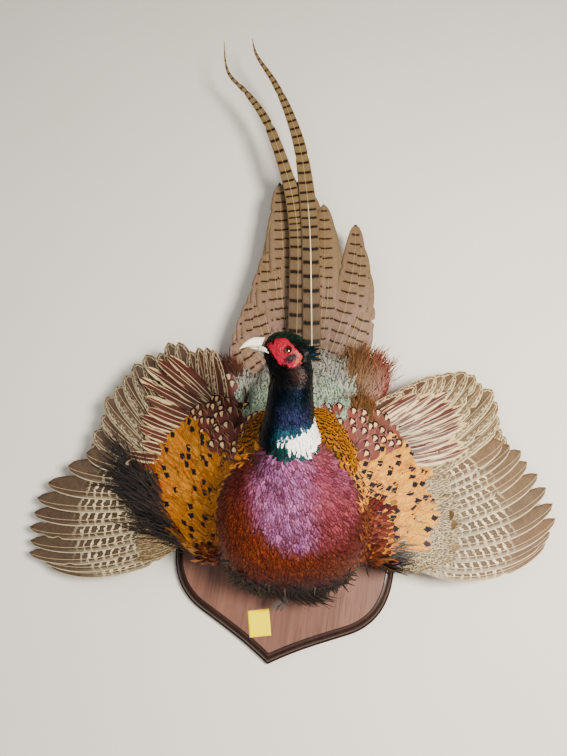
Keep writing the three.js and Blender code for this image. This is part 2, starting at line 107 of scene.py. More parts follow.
# %% The neck's line and the head's own directions
NECK_LINE = [(8, 34, 126), (9, 58, 154), (11, 84, 183), (14, 106, 206), (17, 128, 224), (20, 146, 236)]
NECK_CUT, HEAD_CUT = 0.42, 0.84
HEAD_AT = np.array([17, 155, 238])
HEAD_PITCH = math.radians(16)
HEAD_AXES = np.array([
    [-math.cos(HEAD_PITCH), math.sin(HEAD_PITCH), 0],
    [math.sin(HEAD_PITCH), math.cos(HEAD_PITCH), 0],
    [0, 0, 1],
])


def on_head(places):
    """Forward, up and out to the left side, in mm from the middle of the head."""
    return (places - HEAD_AT) @ HEAD_AXES.T


def from_head(forward, up, out):
    return HEAD_AT + np.stack(np.broadcast_arrays(forward, up, out), -1) @ HEAD_AXES


NECK_STEPS = 60
neck_shares = np.linspace(0, 1, NECK_STEPS + 1)
neck_points = spline(NECK_LINE, neck_shares)
neck_ahead = unit(np.gradient(neck_points, axis=0))


def neck_share(places):
    """Which share of the neck's line lies nearest to each place."""
    away = ((places[:, None] - neck_points[None]) ** 2).sum(-1)
    return neck_shares[np.argmin(away, axis=1)]


def past_cut(places, share):
    """How far each place is beyond a cut across the neck, in mm."""
    index = round(share * NECK_STEPS)
    return (places - neck_points[index]) @ neck_ahead[index]


print("neck", round(float(np.linalg.norm(np.diff(neck_points, axis=0), axis=1).sum())), "mm long")

# %% [markdown]
# ## Camera, floor and light
# The bird lies on its board and is looked down on, the camera leaning back a little from straight
# above the breast. A pale floor bounces light into the undersides, one soft lamp on the right
# models the breast and the barring, and a weak one on the left keeps the shadows open.

# %% Camera, floor and lights
CAMERA_AT = Vector((0.0355, -0.0503, 0.820))
CAMERA_AHEAD = Vector((-0.0865, 0.2903, -0.9530))
CAMERA_UP = Vector((-0.1368, 0.9441, 0.3000))
CAMERA_LENS = 28.571  # mm on a 36 mm sensor, along the longer side of the picture


def aimed(place, ahead, up):
    """A matrix that puts a camera or lamp at a place, looking ahead."""
    back = -ahead.normalized()
    right = up.cross(back).normalized()
    turn = Matrix((right, back.cross(right), back)).transposed()
    return Matrix.Translation(place) @ turn.to_4x4()


def add_object(name, data):
    made = bpy.data.objects.new(name, data)
    bpy.context.scene.collection.objects.link(made)
    return made


camera = add_object("camera", bpy.data.cameras.new("camera"))
camera.data.lens = CAMERA_LENS
camera.data.sensor_width = 36
camera.data.clip_start = 0.01
camera.matrix_world = aimed(CAMERA_AT, CAMERA_AHEAD, CAMERA_UP)
bpy.context.scene.camera = camera

bpy.context.scene.view_settings.look = "AgX - Medium High Contrast"
LAMPS = {  # place in metres, size of the soft box, power in watts, colour
    "key": ((0.70, 0.12, 1.25), 0.42, 33, (1.0, 0.93, 0.84)),
    "fill": ((-0.9, 0.3, 1.2), 1.2, 4.5, (1.0, 0.96, 0.92)),
    "top": ((0.0, -0.7, 1.3), 0.9, 4.5, (1.0, 0.97, 0.93)),
}
AIM = Vector((0.0, 0.12, 0.05))
for name, (place, size, power, colour) in LAMPS.items():
    lamp = bpy.data.lights.new(name, "AREA")
    lamp.size = size
    lamp.energy = power
    lamp.color = colour
    place = Vector(place)
    add_object(name, lamp).matrix_world = aimed(place, AIM - place, Vector((0, 1, 0.2)))

world = bpy.data.worlds.new("studio")
bpy.context.scene.world = world
world.use_nodes = True
world.node_tree.nodes["Background"].inputs["Color"].default_value = (1.0, 0.98, 0.95, 1)
world.node_tree.nodes["Background"].inputs["Strength"].default_value = 0.24
print("camera", CAMERA_LENS, "mm,", len(LAMPS), "lamps")

# %% [markdown]
# ## Colour and nodes
# Colours are written as they look on a screen, and one function turns them to linear light. One
# small function adds a node: its settings by name, its inputs in order or by name, each a value,
# a socket or another node.

# %% Helpers for every material


def linear(colour):
    """A hex colour as linear red, green and blue."""
    channels = np.array([int(colour[i : i + 2], 16) for i in (1, 3, 5)]) / 255
    return np.where(channels <= 0.04045, channels / 12.92, ((channels + 0.055) / 1.055) ** 2.4)


def opaque(colour):
    return (*linear(colour), 1.0)


def finish(name, roughness, **settings):
    """A new material with its shader: the same all over, so set on the shader itself."""
    global tree
    material = bpy.data.materials.new(name)
    material.use_nodes = True
    tree = material.node_tree
    shader = tree.nodes["Principled BSDF"]
    shader.inputs["Roughness"].default_value = roughness
    for label, value in settings.items():
        label = "Specular IOR Level" if label == "specular" else label.replace("_", " ").title()
        shader.inputs[label].default_value = opaque(value) if isinstance(value, str) else value
    return material, shader


def add(kind, inputs=(), **settings):
    """One more node, of a kind or a kind and its operation, as in Math:ADD. inputs go in order or by
    name; each is a value, a socket or a node's first output."""
    kind, _, operation = kind.partition(":")
    made = tree.nodes.new("ShaderNode" + kind)
    if operation:
        made.operation = operation
    for name, value in settings.items():
        setattr(made, name, value)
    shown = [socket for socket in made.inputs if socket.enabled]
    named = {socket.name: socket for socket in reversed(shown)}
    pairs = inputs.items() if isinstance(inputs, dict) else zip(shown, inputs)
    for key, value in pairs:
        socket = named[key] if isinstance(key, str) else key
        if isinstance(value, bpy.types.Node):
            value = next(output for output in value.outputs if output.enabled)
        if isinstance(value, bpy.types.NodeSocket):
            tree.links.new(value, socket)
        elif value is not None:
            socket.default_value = value
    return made


def level(value, low, high, first=0.0, last=1.0):
    """A smooth step of a value, from first at low to last at high."""
    return add("MapRange", (value, low, high, first, last), interpolation_type="SMOOTHSTEP")


def times(*values):
    """The product of several values."""
    total = values[0]
    for value in values[1:]:
        total = add("Math:MULTIPLY", (total, value))
    return total


def laid_on(ground, *layers):
    """A ground with colours laid over it in turn, each after the mark that it follows."""
    for where, colour in zip(layers[::2], layers[1::2]):
        colour = opaque(colour) if isinstance(colour, str) else colour
        ground = add("Mix", (where, ground, colour), data_type="RGBA").outputs[2]
    return ground


def mark(name):
    """A mark that the mesh carries: the tint's colour, or the three numbers of another."""
    found = add("Attribute", attribute_name=name).outputs
    return found["Color"] if name == "tint" else add("SeparateXYZ", (found["Vector"],)).outputs


def surfaced(shader, colour, height=None, strength=0.0, depth=0.0):
    """Give the shader its colour, and a relief whose depth is in metres."""
    tree.links.new(colour, shader.inputs["Base Color"])
    if height is not None:
        relief = add("Bump", {"Strength": strength, "Distance": depth, "Height": height})
        tree.links.new(relief.outputs[0], shader.inputs["Normal"])


print("white is", linear("#ffffff"), "mid grey", linear("#808080").round(3))

# %% [markdown]
# ## The floor
# A plain pale sheet of studio paper, far bigger than the bird, with a faint tooth so that it
# isn't a dead white.

# %% Studio paper


def studio_paper():
    material, shader = finish("studio_paper", 0.9)
    grain = add("TexNoise", {"Scale": 60, "Detail": 4})
    surfaced(shader, laid_on(opaque("#d9d5ce"), grain, "#dfdcd6"))
    return material


FLOOR_HALF = 6.0
floor_mesh = bpy.data.meshes.new("floor")
corners = [(x * FLOOR_HALF, y * FLOOR_HALF, 0) for x, y in ((-1, -1), (1, -1), (1, 1), (-1, 1))]
floor_mesh.from_pydata(corners, [], [(0, 1, 2, 3)])
floor = add_object("floor", floor_mesh)
floor_mesh.materials.append(studio_paper())
print("floor:", 2 * FLOOR_HALF, "m across")

# %% [markdown]
# ## Making a mesh from arrays
# Thousands of feathers are far quicker to make as numbers than one by one. Every piece below is
# given as an array of places, an array of faces, and marks: values that the material reads at
# each point, such as how far along its feather it lies. The OFBake map gives every feather a
# small patch at its root's place on the skin's own unwrap.

# %% A piece from arrays
MAP = "OFBake"


def mesh_of(name, places, faces, marks=None, patch=None):
    mesh = bpy.data.meshes.new(name)
    faces = np.asarray(faces, np.int32)
    count, sides = faces.shape
    mesh.vertices.add(len(places))
    mesh.vertices.foreach_set("co", to_board(places).astype(np.float32).ravel())
    mesh.loops.add(count * sides)
    mesh.loops.foreach_set("vertex_index", faces.ravel())
    mesh.polygons.add(count)
    mesh.polygons.foreach_set("loop_start", np.arange(0, count * sides, sides, dtype=np.int32))
    mesh.update(calc_edges=True)
    mesh.polygons.foreach_set("use_smooth", np.ones(count, bool))
    for label, values in (marks or {}).items():
        values = np.broadcast_to(np.asarray(values, np.float32), (len(places), 3))
        kind, field = "FLOAT_VECTOR", "vector"
        if label == "tint":
            kind, field = "FLOAT_COLOR", "color"
            values = np.concatenate([values, np.ones((len(values), 1), np.float32)], axis=1)
        mesh.attributes.new(label, kind, "POINT").data.foreach_set(field, values.ravel())
    if patch is not None:
        corners = np.asarray(patch, np.float32)[faces.ravel()]
        mesh.uv_layers.new(name=MAP).uv.foreach_set("vector", corners.ravel())
    return mesh


def piece(name, shape, material, slot, *stands_for):
    """One piece of the model from what mesh_of takes after the name."""
    mesh = mesh_of(name, *shape)
    made = add_object(name, mesh)
    mesh.materials.append(material)
    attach(made, "root")
    if stands_for:
        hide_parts(*stands_for)
    triangles = sum(len(polygon.vertices) - 2 for polygon in mesh.polygons)
    print(f"{name}: {triangles} triangles")
    return made


# %% [markdown]
# ## One skin
# The flesh arrives as nine closed solids with hair-thin cuts between them. A mounted skin has no
# such cuts. So the solids are swollen by half a millimetre until they touch, run together by a
# voxel remesh, and smoothed. Then the skin is drawn in by the depth of the coat that will cover
# it, so that the feather tips, not the skin, reach the bird's true outline. The bare face keeps
# nearly all its depth, and its mesh is made finer, because there the skin itself is seen.

# %% Run the solids of flesh together
FLESH = ["trunk", "neck", "head", "face_left", "face_right", "wing_left_arm", "wing_right_arm"]
FLESH += ["rump_left", "rump_right"]
SWELL = 0.0005
SKIN_VOXEL = 0.003
FACE_AT = (3.5, -6.0)  # forward and up on the head
FACE_HALF = (19.0, 12.8)
FACE_TILT = 0.23  # its front end is the higher one


def run_together(names, swell, voxel):
    """One closed mesh over the named solids, as places in bird mm and triangles."""
    build = bmesh.new()
    for name in names:
        part = bmesh.new()
        part.from_mesh(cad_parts[name].data)
        bmesh.ops.remove_doubles(part, verts=part.verts, dist=1e-5)
        part.normal_update()
        for vertex in part.verts:
            vertex.co += vertex.normal * swell
        held = bpy.data.meshes.new(name)
        part.to_mesh(held)
        build.from_mesh(held)
        part.free()
        bpy.data.meshes.remove(held)
    mesh = bpy.data.meshes.new("together")
    build.to_mesh(mesh)
    build.free()
    form = add_object("together", mesh)
    modifier = form.modifiers.new("together", "REMESH")
    modifier.mode = "VOXEL"
    modifier.voxel_size = voxel
    graph = bpy.context.evaluated_depsgraph_get()
    made = bpy.data.meshes.new_from_object(form.evaluated_get(graph))
    bpy.data.objects.remove(form)
    bpy.data.meshes.remove(mesh)
    return made


def arrays_of(mesh):
    """Places in bird mm and triangles of a mesh."""
    places = np.empty(len(mesh.vertices) * 3, np.float32)
    mesh.vertices.foreach_get("co", places)
    mesh.calc_loop_triangles()
    triangles = np.empty(len(mesh.loop_triangles) * 3, np.int32)
    mesh.loop_triangles.foreach_get("vertices", triangles)
    return to_bird(places.reshape(-1, 3)), triangles.reshape(-1, 3)


def finer(mesh, chosen, cuts):
    """Cut the faces whose middle is chosen into smaller ones."""
    build = bmesh.new()
    build.from_mesh(mesh)
    middles = to_bird([face.calc_center_median() for face in build.faces])
    picked = [face for face, wanted in zip(build.faces, chosen(middles)) if wanted]
    edges = list({edge for face in picked for edge in face.edges})
    bmesh.ops.subdivide_edges(build, edges=edges, cuts=cuts, use_grid_fill=True)
    bmesh.ops.triangulate(build, faces=build.faces)
    build.to_mesh(mesh)
    build.free()


def face_distance(places):
    """1 on the rim of the bare face, less inside it; away from the sides of the head it is large."""
    forward, up, out = on_head(places).T
    forward, up = forward - FACE_AT[0], up - FACE_AT[1]
    along = forward * math.cos(FACE_TILT) + up * math.sin(FACE_TILT)
    above = up * math.cos(FACE_TILT) - forward * math.sin(FACE_TILT)
    away = np.abs(along / FACE_HALF[0]) ** 2.4 + np.abs(above / FACE_HALF[1]) ** 2.4
    return np.where(np.abs(out) > 6, away ** (1 / 2.4), 9.0)


raw_skin = run_together(FLESH, SWELL, SKIN_VOXEL)
finer(raw_skin, lambda middles: face_distance(middles) < 1.3, 2)
skin_places, skin_faces = arrays_of(raw_skin)
bpy.data.meshes.remove(raw_skin)
print("skin:", len(skin_faces), "triangles")

# %% Smooth it, and find its normals


def neighbours_of(faces):
    """Both ends of every edge of the triangles, each way round."""
    ends = np.concatenate([faces[:, [0, 1]], faces[:, [1, 2]], faces[:, [2, 0]]])
    return np.unique(np.concatenate([ends, ends[:, ::-1]]), axis=0).T


def averaged(values, start, end, rounds, strength=0.5):
    """Pull every point's value towards the mean of its neighbours'."""
    count = np.bincount(start, minlength=len(values))[:, None]
    for _ in range(rounds):
        sums = [np.bincount(start, values[end, k], len(values)) for k in range(values.shape[1])]
        values = values + strength * (np.stack(sums, 1) / np.maximum(count, 1) - values)
    return values


def normals_of(places, faces):
    a, b, c = (places[faces[:, k]] for k in range(3))
    area = np.cross(b - a, c - a)
    sums = [np.bincount(faces.ravel(), np.repeat(area[:, k], 3), len(places)) for k in range(3)]
    return unit(np.stack(sums, 1))


skin_edges = neighbours_of(skin_faces)
skin_places = averaged(skin_places, *skin_edges, rounds=14)
skin_normals = averaged(normals_of(skin_places, skin_faces), *skin_edges, rounds=6)
skin_normals = unit(skin_normals)
print("smoothed:", skin_places.min(0).round(), "to", skin_places.max(0).round())

# %% [markdown]
# ## Tracts of feathers
# A bird's feathers grow in tracts, and each tract has its own colour, size and shape. On the back
# and the wings a tract is told by where it lies seen from above, so a short outline is enough. On
# the neck it is told by the height along the neck, and on the head by the bare face. A little
# noise in the place makes the borders interlock, as they do on the bird.

# %% Outlines of the tracts, in bird mm from above
TRACTS = {
    "scapular": [
        [(-106, 192), (-62, 174), (-42, 110), (-38, 86), (-50, 60), (-72, 68), (-98, 92), (-124, 128),
         (-128, 160)],
        [(58, 124), (85, 106), (117, 102), (136, 134), (156, 130), (168, 104), (150, 84), (112, 64),
         (78, 48), (66, 76)],
    ],
    "hackle": [
        [(-20, 118), (-38, 112), (-52, 78), (-44, 64), (-28, 84)],
        [(38, 116), (60, 118), (79, 82), (87, 52), (68, 42), (54, 74)],
    ],
    "rump": [
        [(-64, 182), (-40, 90), (-10, 84), (50, 90), (84, 106), (92, 150), (88, 196), (20, 216), (-40, 206)],
    ],
    "fluff": [
        [(84, 104), (117, 100), (150, 130), (190, 190), (170, 240), (70, 240), (88, 190), (94, 150)],
        [(-60, 170), (-106, 188), (-140, 200), (-110, 250), (-30, 250), (-34, 200)],
    ],
    "flank": [
        [(-38, 88), (-50, 60), (-72, 68), (-98, 92), (-118, 132), (-132, 150), (-136, 118), (-166, 100),
         (-196, 92), (-178, 66), (-153, 42), (-146, 12), (-128, -16), (-112, -70), (-60, -92), (-20, -60),
         (-20, 60)],
        [(50, 60), (78, 48), (112, 64), (150, 84), (206, 72), (214, 52), (186, 38), (172, 2), (140, -20),
         (126, -32), (96, -66), (60, -92), (20, -40)],
    ],
    "dusk": [
        [(-200, 92), (-170, 66), (-140, 42), (-132, 12), (-116, -16), (-104, -70), (-140, -44), (-168, -36),
         (-208, 20), (-214, 70)],
        [(96, -66), (112, -34), (128, -32), (126, -60), (104, -80)],
    ],
}
COLLAR_TURN = [-180, -130, -112, -21, 24, 80, 130, 180]  # degrees round the neck from its front
COLLAR_LOW = [188, 196, 204, 204, 187.5, 186, 186, 188]  # where the white starts, along the neck
COLLAR_HIGH = [212, 206, 204, 204, 214, 218, 216, 212]


def inside(outline, x, y):
    """Whether each place lies inside an outline."""
    within = np.zeros(len(x), bool)
    for (ax, ay), (bx, by) in zip(outline, outline[1:] + outline[:1]):
        crosses = (ay > y) != (by > y)
        within ^= crosses & (x < (bx - ax) * (y - ay) / (by - ay + 1e-9) + ax)
    return within


NECK_AXIS = np.array([0.09, 0.69, 0.72])
NECK_FRONT = np.array([0, -0.72, 0.69])


def up_neck(places):
    """Height along the neck, and the turn round it in degrees from the side that faces out."""
    middle = np.stack([spline(NECK_LINE, 0.45)] * len(places))
    across = places - middle
    return places @ NECK_AXIS, np.degrees(np.arctan2(across @ X, across @ NECK_FRONT))


def breast_distance(places):
    """1 on the rim of the breast shield seen from above."""
    x, y = places[:, 0], places[:, 1]
    return (np.abs((x - 4) / 84) ** 2.4 + np.abs((y + 12) / 80) ** 2.4) ** (1 / 2.4)


FACE_OUTLINE = [  # forward and up on the head, in mm
    (23.5, -0.8), (16.2, 7.2), (6, 9.4), (-2.9, 2.8), (-15.2, -4.4), (-15.6, -11.1), (-10.9, -18.1),
    (-3.7, -21.7), (-0.4, -18.7), (4.8, -19.2), (12.9, -14.2), (17.5, -8),
]


def bare(places):
    """Whether each place lies on the bare skin of the face."""
    forward, up, out = on_head(places).T
    wobble = 0.7 * np.sin(forward * 1.9 + up) + 0.5 * np.sin(up * 2.7 - forward)
    return inside(FACE_OUTLINE, forward + wobble, up + wobble) & (np.abs(out) > 6) & (places[:, 2] > 190)


def tract_of(places, normals, ragged=0.0):
    """The name of the tract that each place lies in."""
    near = places + rng.normal(0, 1, (len(places), 3)) * ragged
    x, y, z = near.T
    tract = np.full(len(places), "covert", dtype="<U8")
    near_body = (np.abs(x - 10) < 96) & (y > 40)
    tract[near_body] = np.where(y < 112, "scapular", "rump")[near_body]
    for name in ("dusk", "flank", "rump", "fluff", "scapular", "hackle"):
        for outline in TRACTS[name]:
            tract[inside(outline, x, y)] = name
    tract[(np.abs(x - 10) > 100) & (y < -24) & (tract == "covert")] = "marginal"
    breast = (breast_distance(near) < 1) & (z > 40)
    tract[breast & (tract != "hackle")] = "breast"
    under = (normals[:, 2] < -0.25) & (z < 75)
    tract[under] = "under"
    low = (z < 62 + 0.10 * np.abs(x)) | ((y < -40) & (tract == "covert"))
    tract[low & (np.abs(x) < 112) & (y < 60) & ~under] = "belly"
    past = past_cut(places, NECK_CUT)
    height, turn = up_neck(near)
    on_neck = (past > -14) & (np.abs(x - 14) < 62) & (z > 150) & (height > 186)
    tract[on_neck] = "neck"
    low, high = np.interp(turn, COLLAR_TURN, COLLAR_LOW), np.interp(turn, COLLAR_TURN, COLLAR_HIGH)
    ring = (height > low) & (height < high) & (z > 120) & (np.abs(x - 14) < 50) & (y > 40) & (y < 150)
    tract[ring & (past < 60)] = "collar"
    tract[(past_cut(places, HEAD_CUT) > 0) & (z > 190)] = "head"
    tract[bare(places)] = "face"
    return tract


skin_tract = tract_of(skin_places, skin_normals, ragged=2.0)
names, counts = np.unique(skin_tract, return_counts=True)
print("tracts:", dict(zip(names.tolist(), counts.tolist())))

# %% [markdown]
# ## The lie of the coat
# Feathers point away from the bill: back over the crown, down the neck, out over the breast from
# the foot of the neck, and then along the body to the tail. On the spread wings they turn towards
# the wing tip and the trailing edge. A few combed directions, weighted by their distance, give
# the back and wings; the neck's own line and the foot of the neck give the rest.

# %% Which way the feathers point
NECK_FOOT = np.array([8, 75, 190])
COMBED = [  # x, y in mm, and the direction there in degrees from +X
    (-75, 110, 106), (-112, 150, 124), (-50, 150, 98), (-96, 62, 136), (-150, 66, 148), (-190, 76, 150),
    (-120, 4, 152), (-150, -24, 172), (-92, -44, 165), (-64, 30, 140), (90, 80, 44), (145, 118, 44),
    (68, 110, 72), (110, 110, 52), (96, 36, 12), (150, 60, 14), (198, 56, 18), (170, 0, 4), (112, -40, -8),
    (140, -52, -6), (196, -24, 8), (0, 150, 90), (42, 150, 88), (82, 170, 78), (120, 170, 66), (155, 190, 55),
    (-78, 194, 112), (30, 212, 90), (-20, 120, 95),
]


def lie_of(places, normals):
    """The direction in which a feather that grows at each place points, along the skin."""
    combed = np.array(COMBED, float)
    away = ((places[:, None, :2] - combed[None, :, :2]) ** 2).sum(-1)
    weight = 1 / (away + 60) ** 1.6
    turn = np.radians(combed[:, 2])
    flat = unit(np.stack([weight @ np.cos(turn), weight @ np.sin(turn), np.zeros(len(places))], 1))
    outward = unit(places - NECK_FOOT)
    on_breast = 1 - soft(breast_distance(places), 0.86, 1.16)
    on_breast = np.maximum(on_breast, soft(-normals[:, 1], 0.5, 0.8) * (np.abs(places[:, 0] - 6) < 80))
    lie = flat * (1 - on_breast[:, None]) + outward * on_breast[:, None]
    share = neck_share(places)
    down = -neck_ahead[np.round(share * NECK_STEPS).astype(int)]
    on_neck = soft(past_cut(places, NECK_CUT), -16, 6) * (places[:, 2] > 150)
    on_neck = on_neck * (np.abs(places[:, 0] - 14) < 56)
    lie = lie * (1 - on_neck[:, None]) + down * on_neck[:, None]
    on_skull = soft(past_cut(places, HEAD_CUT), -8, 8) * (places[:, 2] > 190)
    backward = unit(-HEAD_AXES[0] - 0.35 * HEAD_AXES[1] * soft(-on_head(places)[:, 1], -4, 12)[:, None])
    lie = lie * (1 - on_skull[:, None]) + backward * on_skull[:, None]
    lie = lie - normals * (lie * normals).sum(1, keepdims=True)
    return unit(lie + 1e-6)


skin_lie = lie_of(skin_places, skin_normals)
print("lie on the back:", skin_lie[skin_tract == "rump"].mean(0).round(2))

# %% [markdown]
# ## The colours of the coat
# Skin and feathers carry the same markings, so both take their colour from one function of the
# place on the bird. Real plumage gets much of this colour from gloss, and here the gloss is painted
# into the colour: the breast is copper with a painted lilac sheen along the middle and a painted
# amber highlight low on the +X side, toward the key lamp. The neck runs from green-black through
# violet to teal above the white collar, partly its own colour and partly painted sheen, with painted
# shade round its sides. The back, wings and flanks are painted lighter on the +X side than on the -X
# side, as painted light. The feathers' own bars, spots and edges come later, in each finish.

# %% One colour for each place on the bird
DYE = {name: linear(colour) for name, colour in {
    "maroon": "#54271d", "lilac": "#9d6a92", "rose": "#85464c", "rust": "#753c20", "amber": "#845030",
    "umber": "#1c1210", "ink": "#07090b", "bottle": "#0c1c17", "violet": "#2a2d4a", "teal": "#284a44",
    "steel": "#336372", "snow": "#f1efe9", "bronze": "#14301f", "chestnut": "#62332a", "mauve": "#80504c",
    "sage": "#8d9d8c", "stone": "#83827a", "tan": "#6c4c2e", "russet": "#742b12", "gold": "#ad7526",
    "peach": "#c89246", "slate": "#2b2422", "cream": "#c6b48a", "drab": "#5f4e3a", "buff": "#a08c6c",
    "scarlet": "#a82238", "orange": "#b2582c", "honey": "#98621c", "brown": "#4c2416", "navy": "#0d0d18",
}.items()}


def dye(colour):
    """The linear values of a dye's name or a hex colour; anything else stays as it is."""
    if isinstance(colour, str):
        return DYE[colour] if colour in DYE else linear(colour)
    return colour


def dyed(colour, *layers):
    """A colour with others laid over it in turn, each before the share that it covers."""
    colour = dye(colour)
    for other, share in zip(layers[::2], layers[1::2]):
        colour = colour + (dye(other) - colour) * np.asarray(share)[..., None]
    return colour


def alike(colour, count):
    """The same colour for each of a count of places."""
    return np.tile(dye(colour), (count, 1))


def breast_colour(places):
    x, y, z = places.T
    # painted sheen: a lilac and rose gloss along the middle, and a lilac tinge up on the +X side
    painted_sheen_reach = np.hypot((x - 22) / 60, (y - 20) / 56)
    painted_sheen = dyed("lilac", "rose", soft(np.abs(x - 2), 14, 40),
                 "lilac", 0.35 * soft(x, 36, 56) * soft(y, 10, 50))
    # painted highlight: lighter amber low on the +X side, toward the key lamp
    return dyed("maroon", "rust", soft(-y - 0.7 * x, -18, 44),
                "amber", 0.55 * soft(-y, 25, 60) * soft(x, 20, 70),
                painted_sheen, 0.92 * (1 - soft(painted_sheen_reach, 0.78, 1.08)),
                "umber", 0.92 * soft(-y - 0.35 * z, -12, 38))


def neck_colour(places):
    height, turn = up_neck(places)
    # steel and violet bands: partly the neck's own colour, partly painted sheen; ink by the turn: painted
    # shade on the neck's sides
    return dyed("teal", "steel", soft(height, 196, 208), "violet", soft(height, 208, 226),
                "bottle", soft(height, 232, 256), "ink", soft(past_cut(places, HEAD_CUT), -24, -2),
                "ink", soft(np.abs(turn - 14), 24, 62))


def head_colour(places):
    forward, up, out = on_head(places).T
    cheek = np.hypot((forward + 13) / 10, (up + 24) / 9)
    return dyed("ink", "bronze", soft(up + 0.25 * forward, 4, 14),
                "brown", 0.4 * (1 - soft(cheek, 0.4, 1.1)))


def face_colour(places):
    forward, up, out = on_head(places).T
    cheek = np.hypot((forward + 13) / 8, (up + 10) / 9)
    mottle = np.sin(forward * 1.3) * np.sin(up * 1.7 + forward * 0.6)
    along = -0.83 * (forward + 4.6) + 0.55 * (up + 11.5)
    above = 0.55 * (forward + 4.6) + 0.83 * (up + 11.5)
    patch = np.hypot(along / 8.4, above / 4.2) + 0.12 * np.sin(forward * 2.3) + 0.12 * np.sin(up * 2.9)
    return dyed("scarlet", "orange", 0.7 * (1 - soft(cheek, 0.3, 1.0)),
                "maroon", 0.5 * (0.5 + 0.5 * mottle), "navy", 0.95 * (1 - soft(patch, 0.7, 1.05)))


def flank_colour(places):
    x, y, z = places.T
    # painted light: the +X flank, toward the key lamp, is paler peach than the gold of the -X flank
    left = dyed("gold", "russet", soft(-x - 0.2 * y, 110, 150) * (1 - soft(-y, 20, 60)))
    right = dyed("peach", "gold", 0.4 * soft(-y, 0, 60))
    flushed = 0.22 * (1 + np.sin(x * 0.21) * np.sin(y * 0.17 + x * 0.05))
    under = soft(-y, 38, 66) * (1 - 0.6 * soft(np.abs(x - 4), 100, 130))
    beside = 0.75 * (1 - soft(breast_distance(places), 1.03, 1.34)) * soft(-y, -30, 30)
    return dyed(left, right, soft(x, -20, 20), "russet", (1 - soft(x, -20, 20)) * flushed,
                DYE["rust"] * 0.8, 0.9 * np.maximum(under, beside))


def colour_of(tract, places):
    """The coat's colour at each place, for its tract."""
    x, y, z = places.T
    colours = alike("buff", len(places))
    painted = {
        "breast": breast_colour(places),
        "neck": neck_colour(places),
        "head": head_colour(places),
        "face": face_colour(places),
        "flank": flank_colour(places),
        "collar": "snow",
        "hackle": "honey",
        # painted light: scapulars, small coverts and marginals are lighter toward +X, the key lamp's side;
        # the fluff is darker brown on the -X side
        "scapular": dyed("chestnut", "mauve", 0.45 * soft(x, -60, 60)),
        "rump": dyed("sage", "stone", soft(y, 135, 185)),
        "fluff": dyed("tan", "russet", soft(x, 104, 140), "brown", soft(-x, 20, 60)),
        "dusk": "slate",
        "marginal": dyed("drab", "cream", soft(x, -50, 50)),
        "covert": dyed("drab", "cream", 0.35 + 0.65 * soft(x, -50, 50)),
        "belly": "umber",
        "under": dyed("umber", "buff", soft(np.abs(x - 4), 96, 124)),
    }
    for name, values in painted.items():
        chosen = tract == name
        colours[chosen] = np.broadcast_to(dye(values), colours.shape)[chosen]
    return colours


print(len(DYE), "dyes")

# %% [markdown]
# ## Draw the skin in under its coat
# The depth of the coat is some 5 mm on the body, 3 on the neck and under 2 on the head. The skin
# goes in by that much along its normals, but never by more than a third of the thickness there,
# so a thin lobe can't turn inside out.

# %% The coat's depth
COAT_DEPTH = {
    "breast": 5.0, "flank": 6.0, "scapular": 5.5, "rump": 6.0, "fluff": 6.0, "neck": 2.8, "collar": 3.2,
    "head": 1.5, "face": 0.3, "hackle": 3.3, "dusk": 6.0, "covert": 5.0, "marginal": 4.0, "under": 3.0,
    "belly": 5.0,
}


def thickness_under(places, normals, faces):
    tree = BVHTree.FromPolygons(places.tolist(), faces.tolist())
    reach = 60.0
    found = np.full(len(places), reach)
    for i, (place, inward) in enumerate(zip(places, -normals)):
        hit = tree.ray_cast(Vector(place + inward * 0.5), Vector(inward), reach)
        if hit[3] is not None:
            found[i] = hit[3]
    return found


depth = np.array([COAT_DEPTH[name] for name in skin_tract])
depth = np.minimum(depth, 0.33 * thickness_under(skin_places, skin_normals, skin_faces))
depth = averaged(depth[:, None], *skin_edges, rounds=8)[:, 0]
depth[skin_tract == "face"] = np.minimum(depth[skin_tract == "face"], 0.5)
skin_places = skin_places - skin_normals * depth[:, None]
skin_normals = normals_of(skin_places, skin_faces)
print("depth: mean", depth.mean().round(2), "mm, most", depth.max().round(2))

# %% [markdown]
# ## The bare face
# A cock's face is a pad of scarlet skin, crowded with tiny bumps, with a thick lid round the eye.
# Both are modelled in the skin's own mesh: each vertex of the face moves out by a sum of rounded
# cells, the eye's opening goes in behind the glass, and a ring stands up round it.

# %% Bumps, lids and the eye's opening
EYE_AT = (1.0, -3.4, 11.6)  # forward, up and out on the head
EYE_RADIUS = 5.4
LID_RADIUS = 3.8
LID_RISE = 1.1
BUMP_SPACING = 1.5
BUMP_RISE = 0.8
SCATTER = np.array([[127.1, 269.5, 419.2], [311.7, 183.3, 371.9], [74.7, 246.1, 92.3]])


def bumps(places, spacing, seed):
    """Rounded cells: 1 at the middle of each, 0 between them."""
    cell = np.floor(places / spacing)
    best = np.full(len(places), 9.0)
    for step in np.ndindex(3, 3, 3):
        corner = cell + np.array(step) - 1
        scatter = np.abs(np.sin(corner @ SCATTER + seed))
        point = (corner + 0.2 + 0.6 * (scatter * 4375.85 % 1)) * spacing
        best = np.minimum(best, np.linalg.norm(places - point, axis=1) / spacing)
    return 1 - soft(best, 0.05, 0.75)


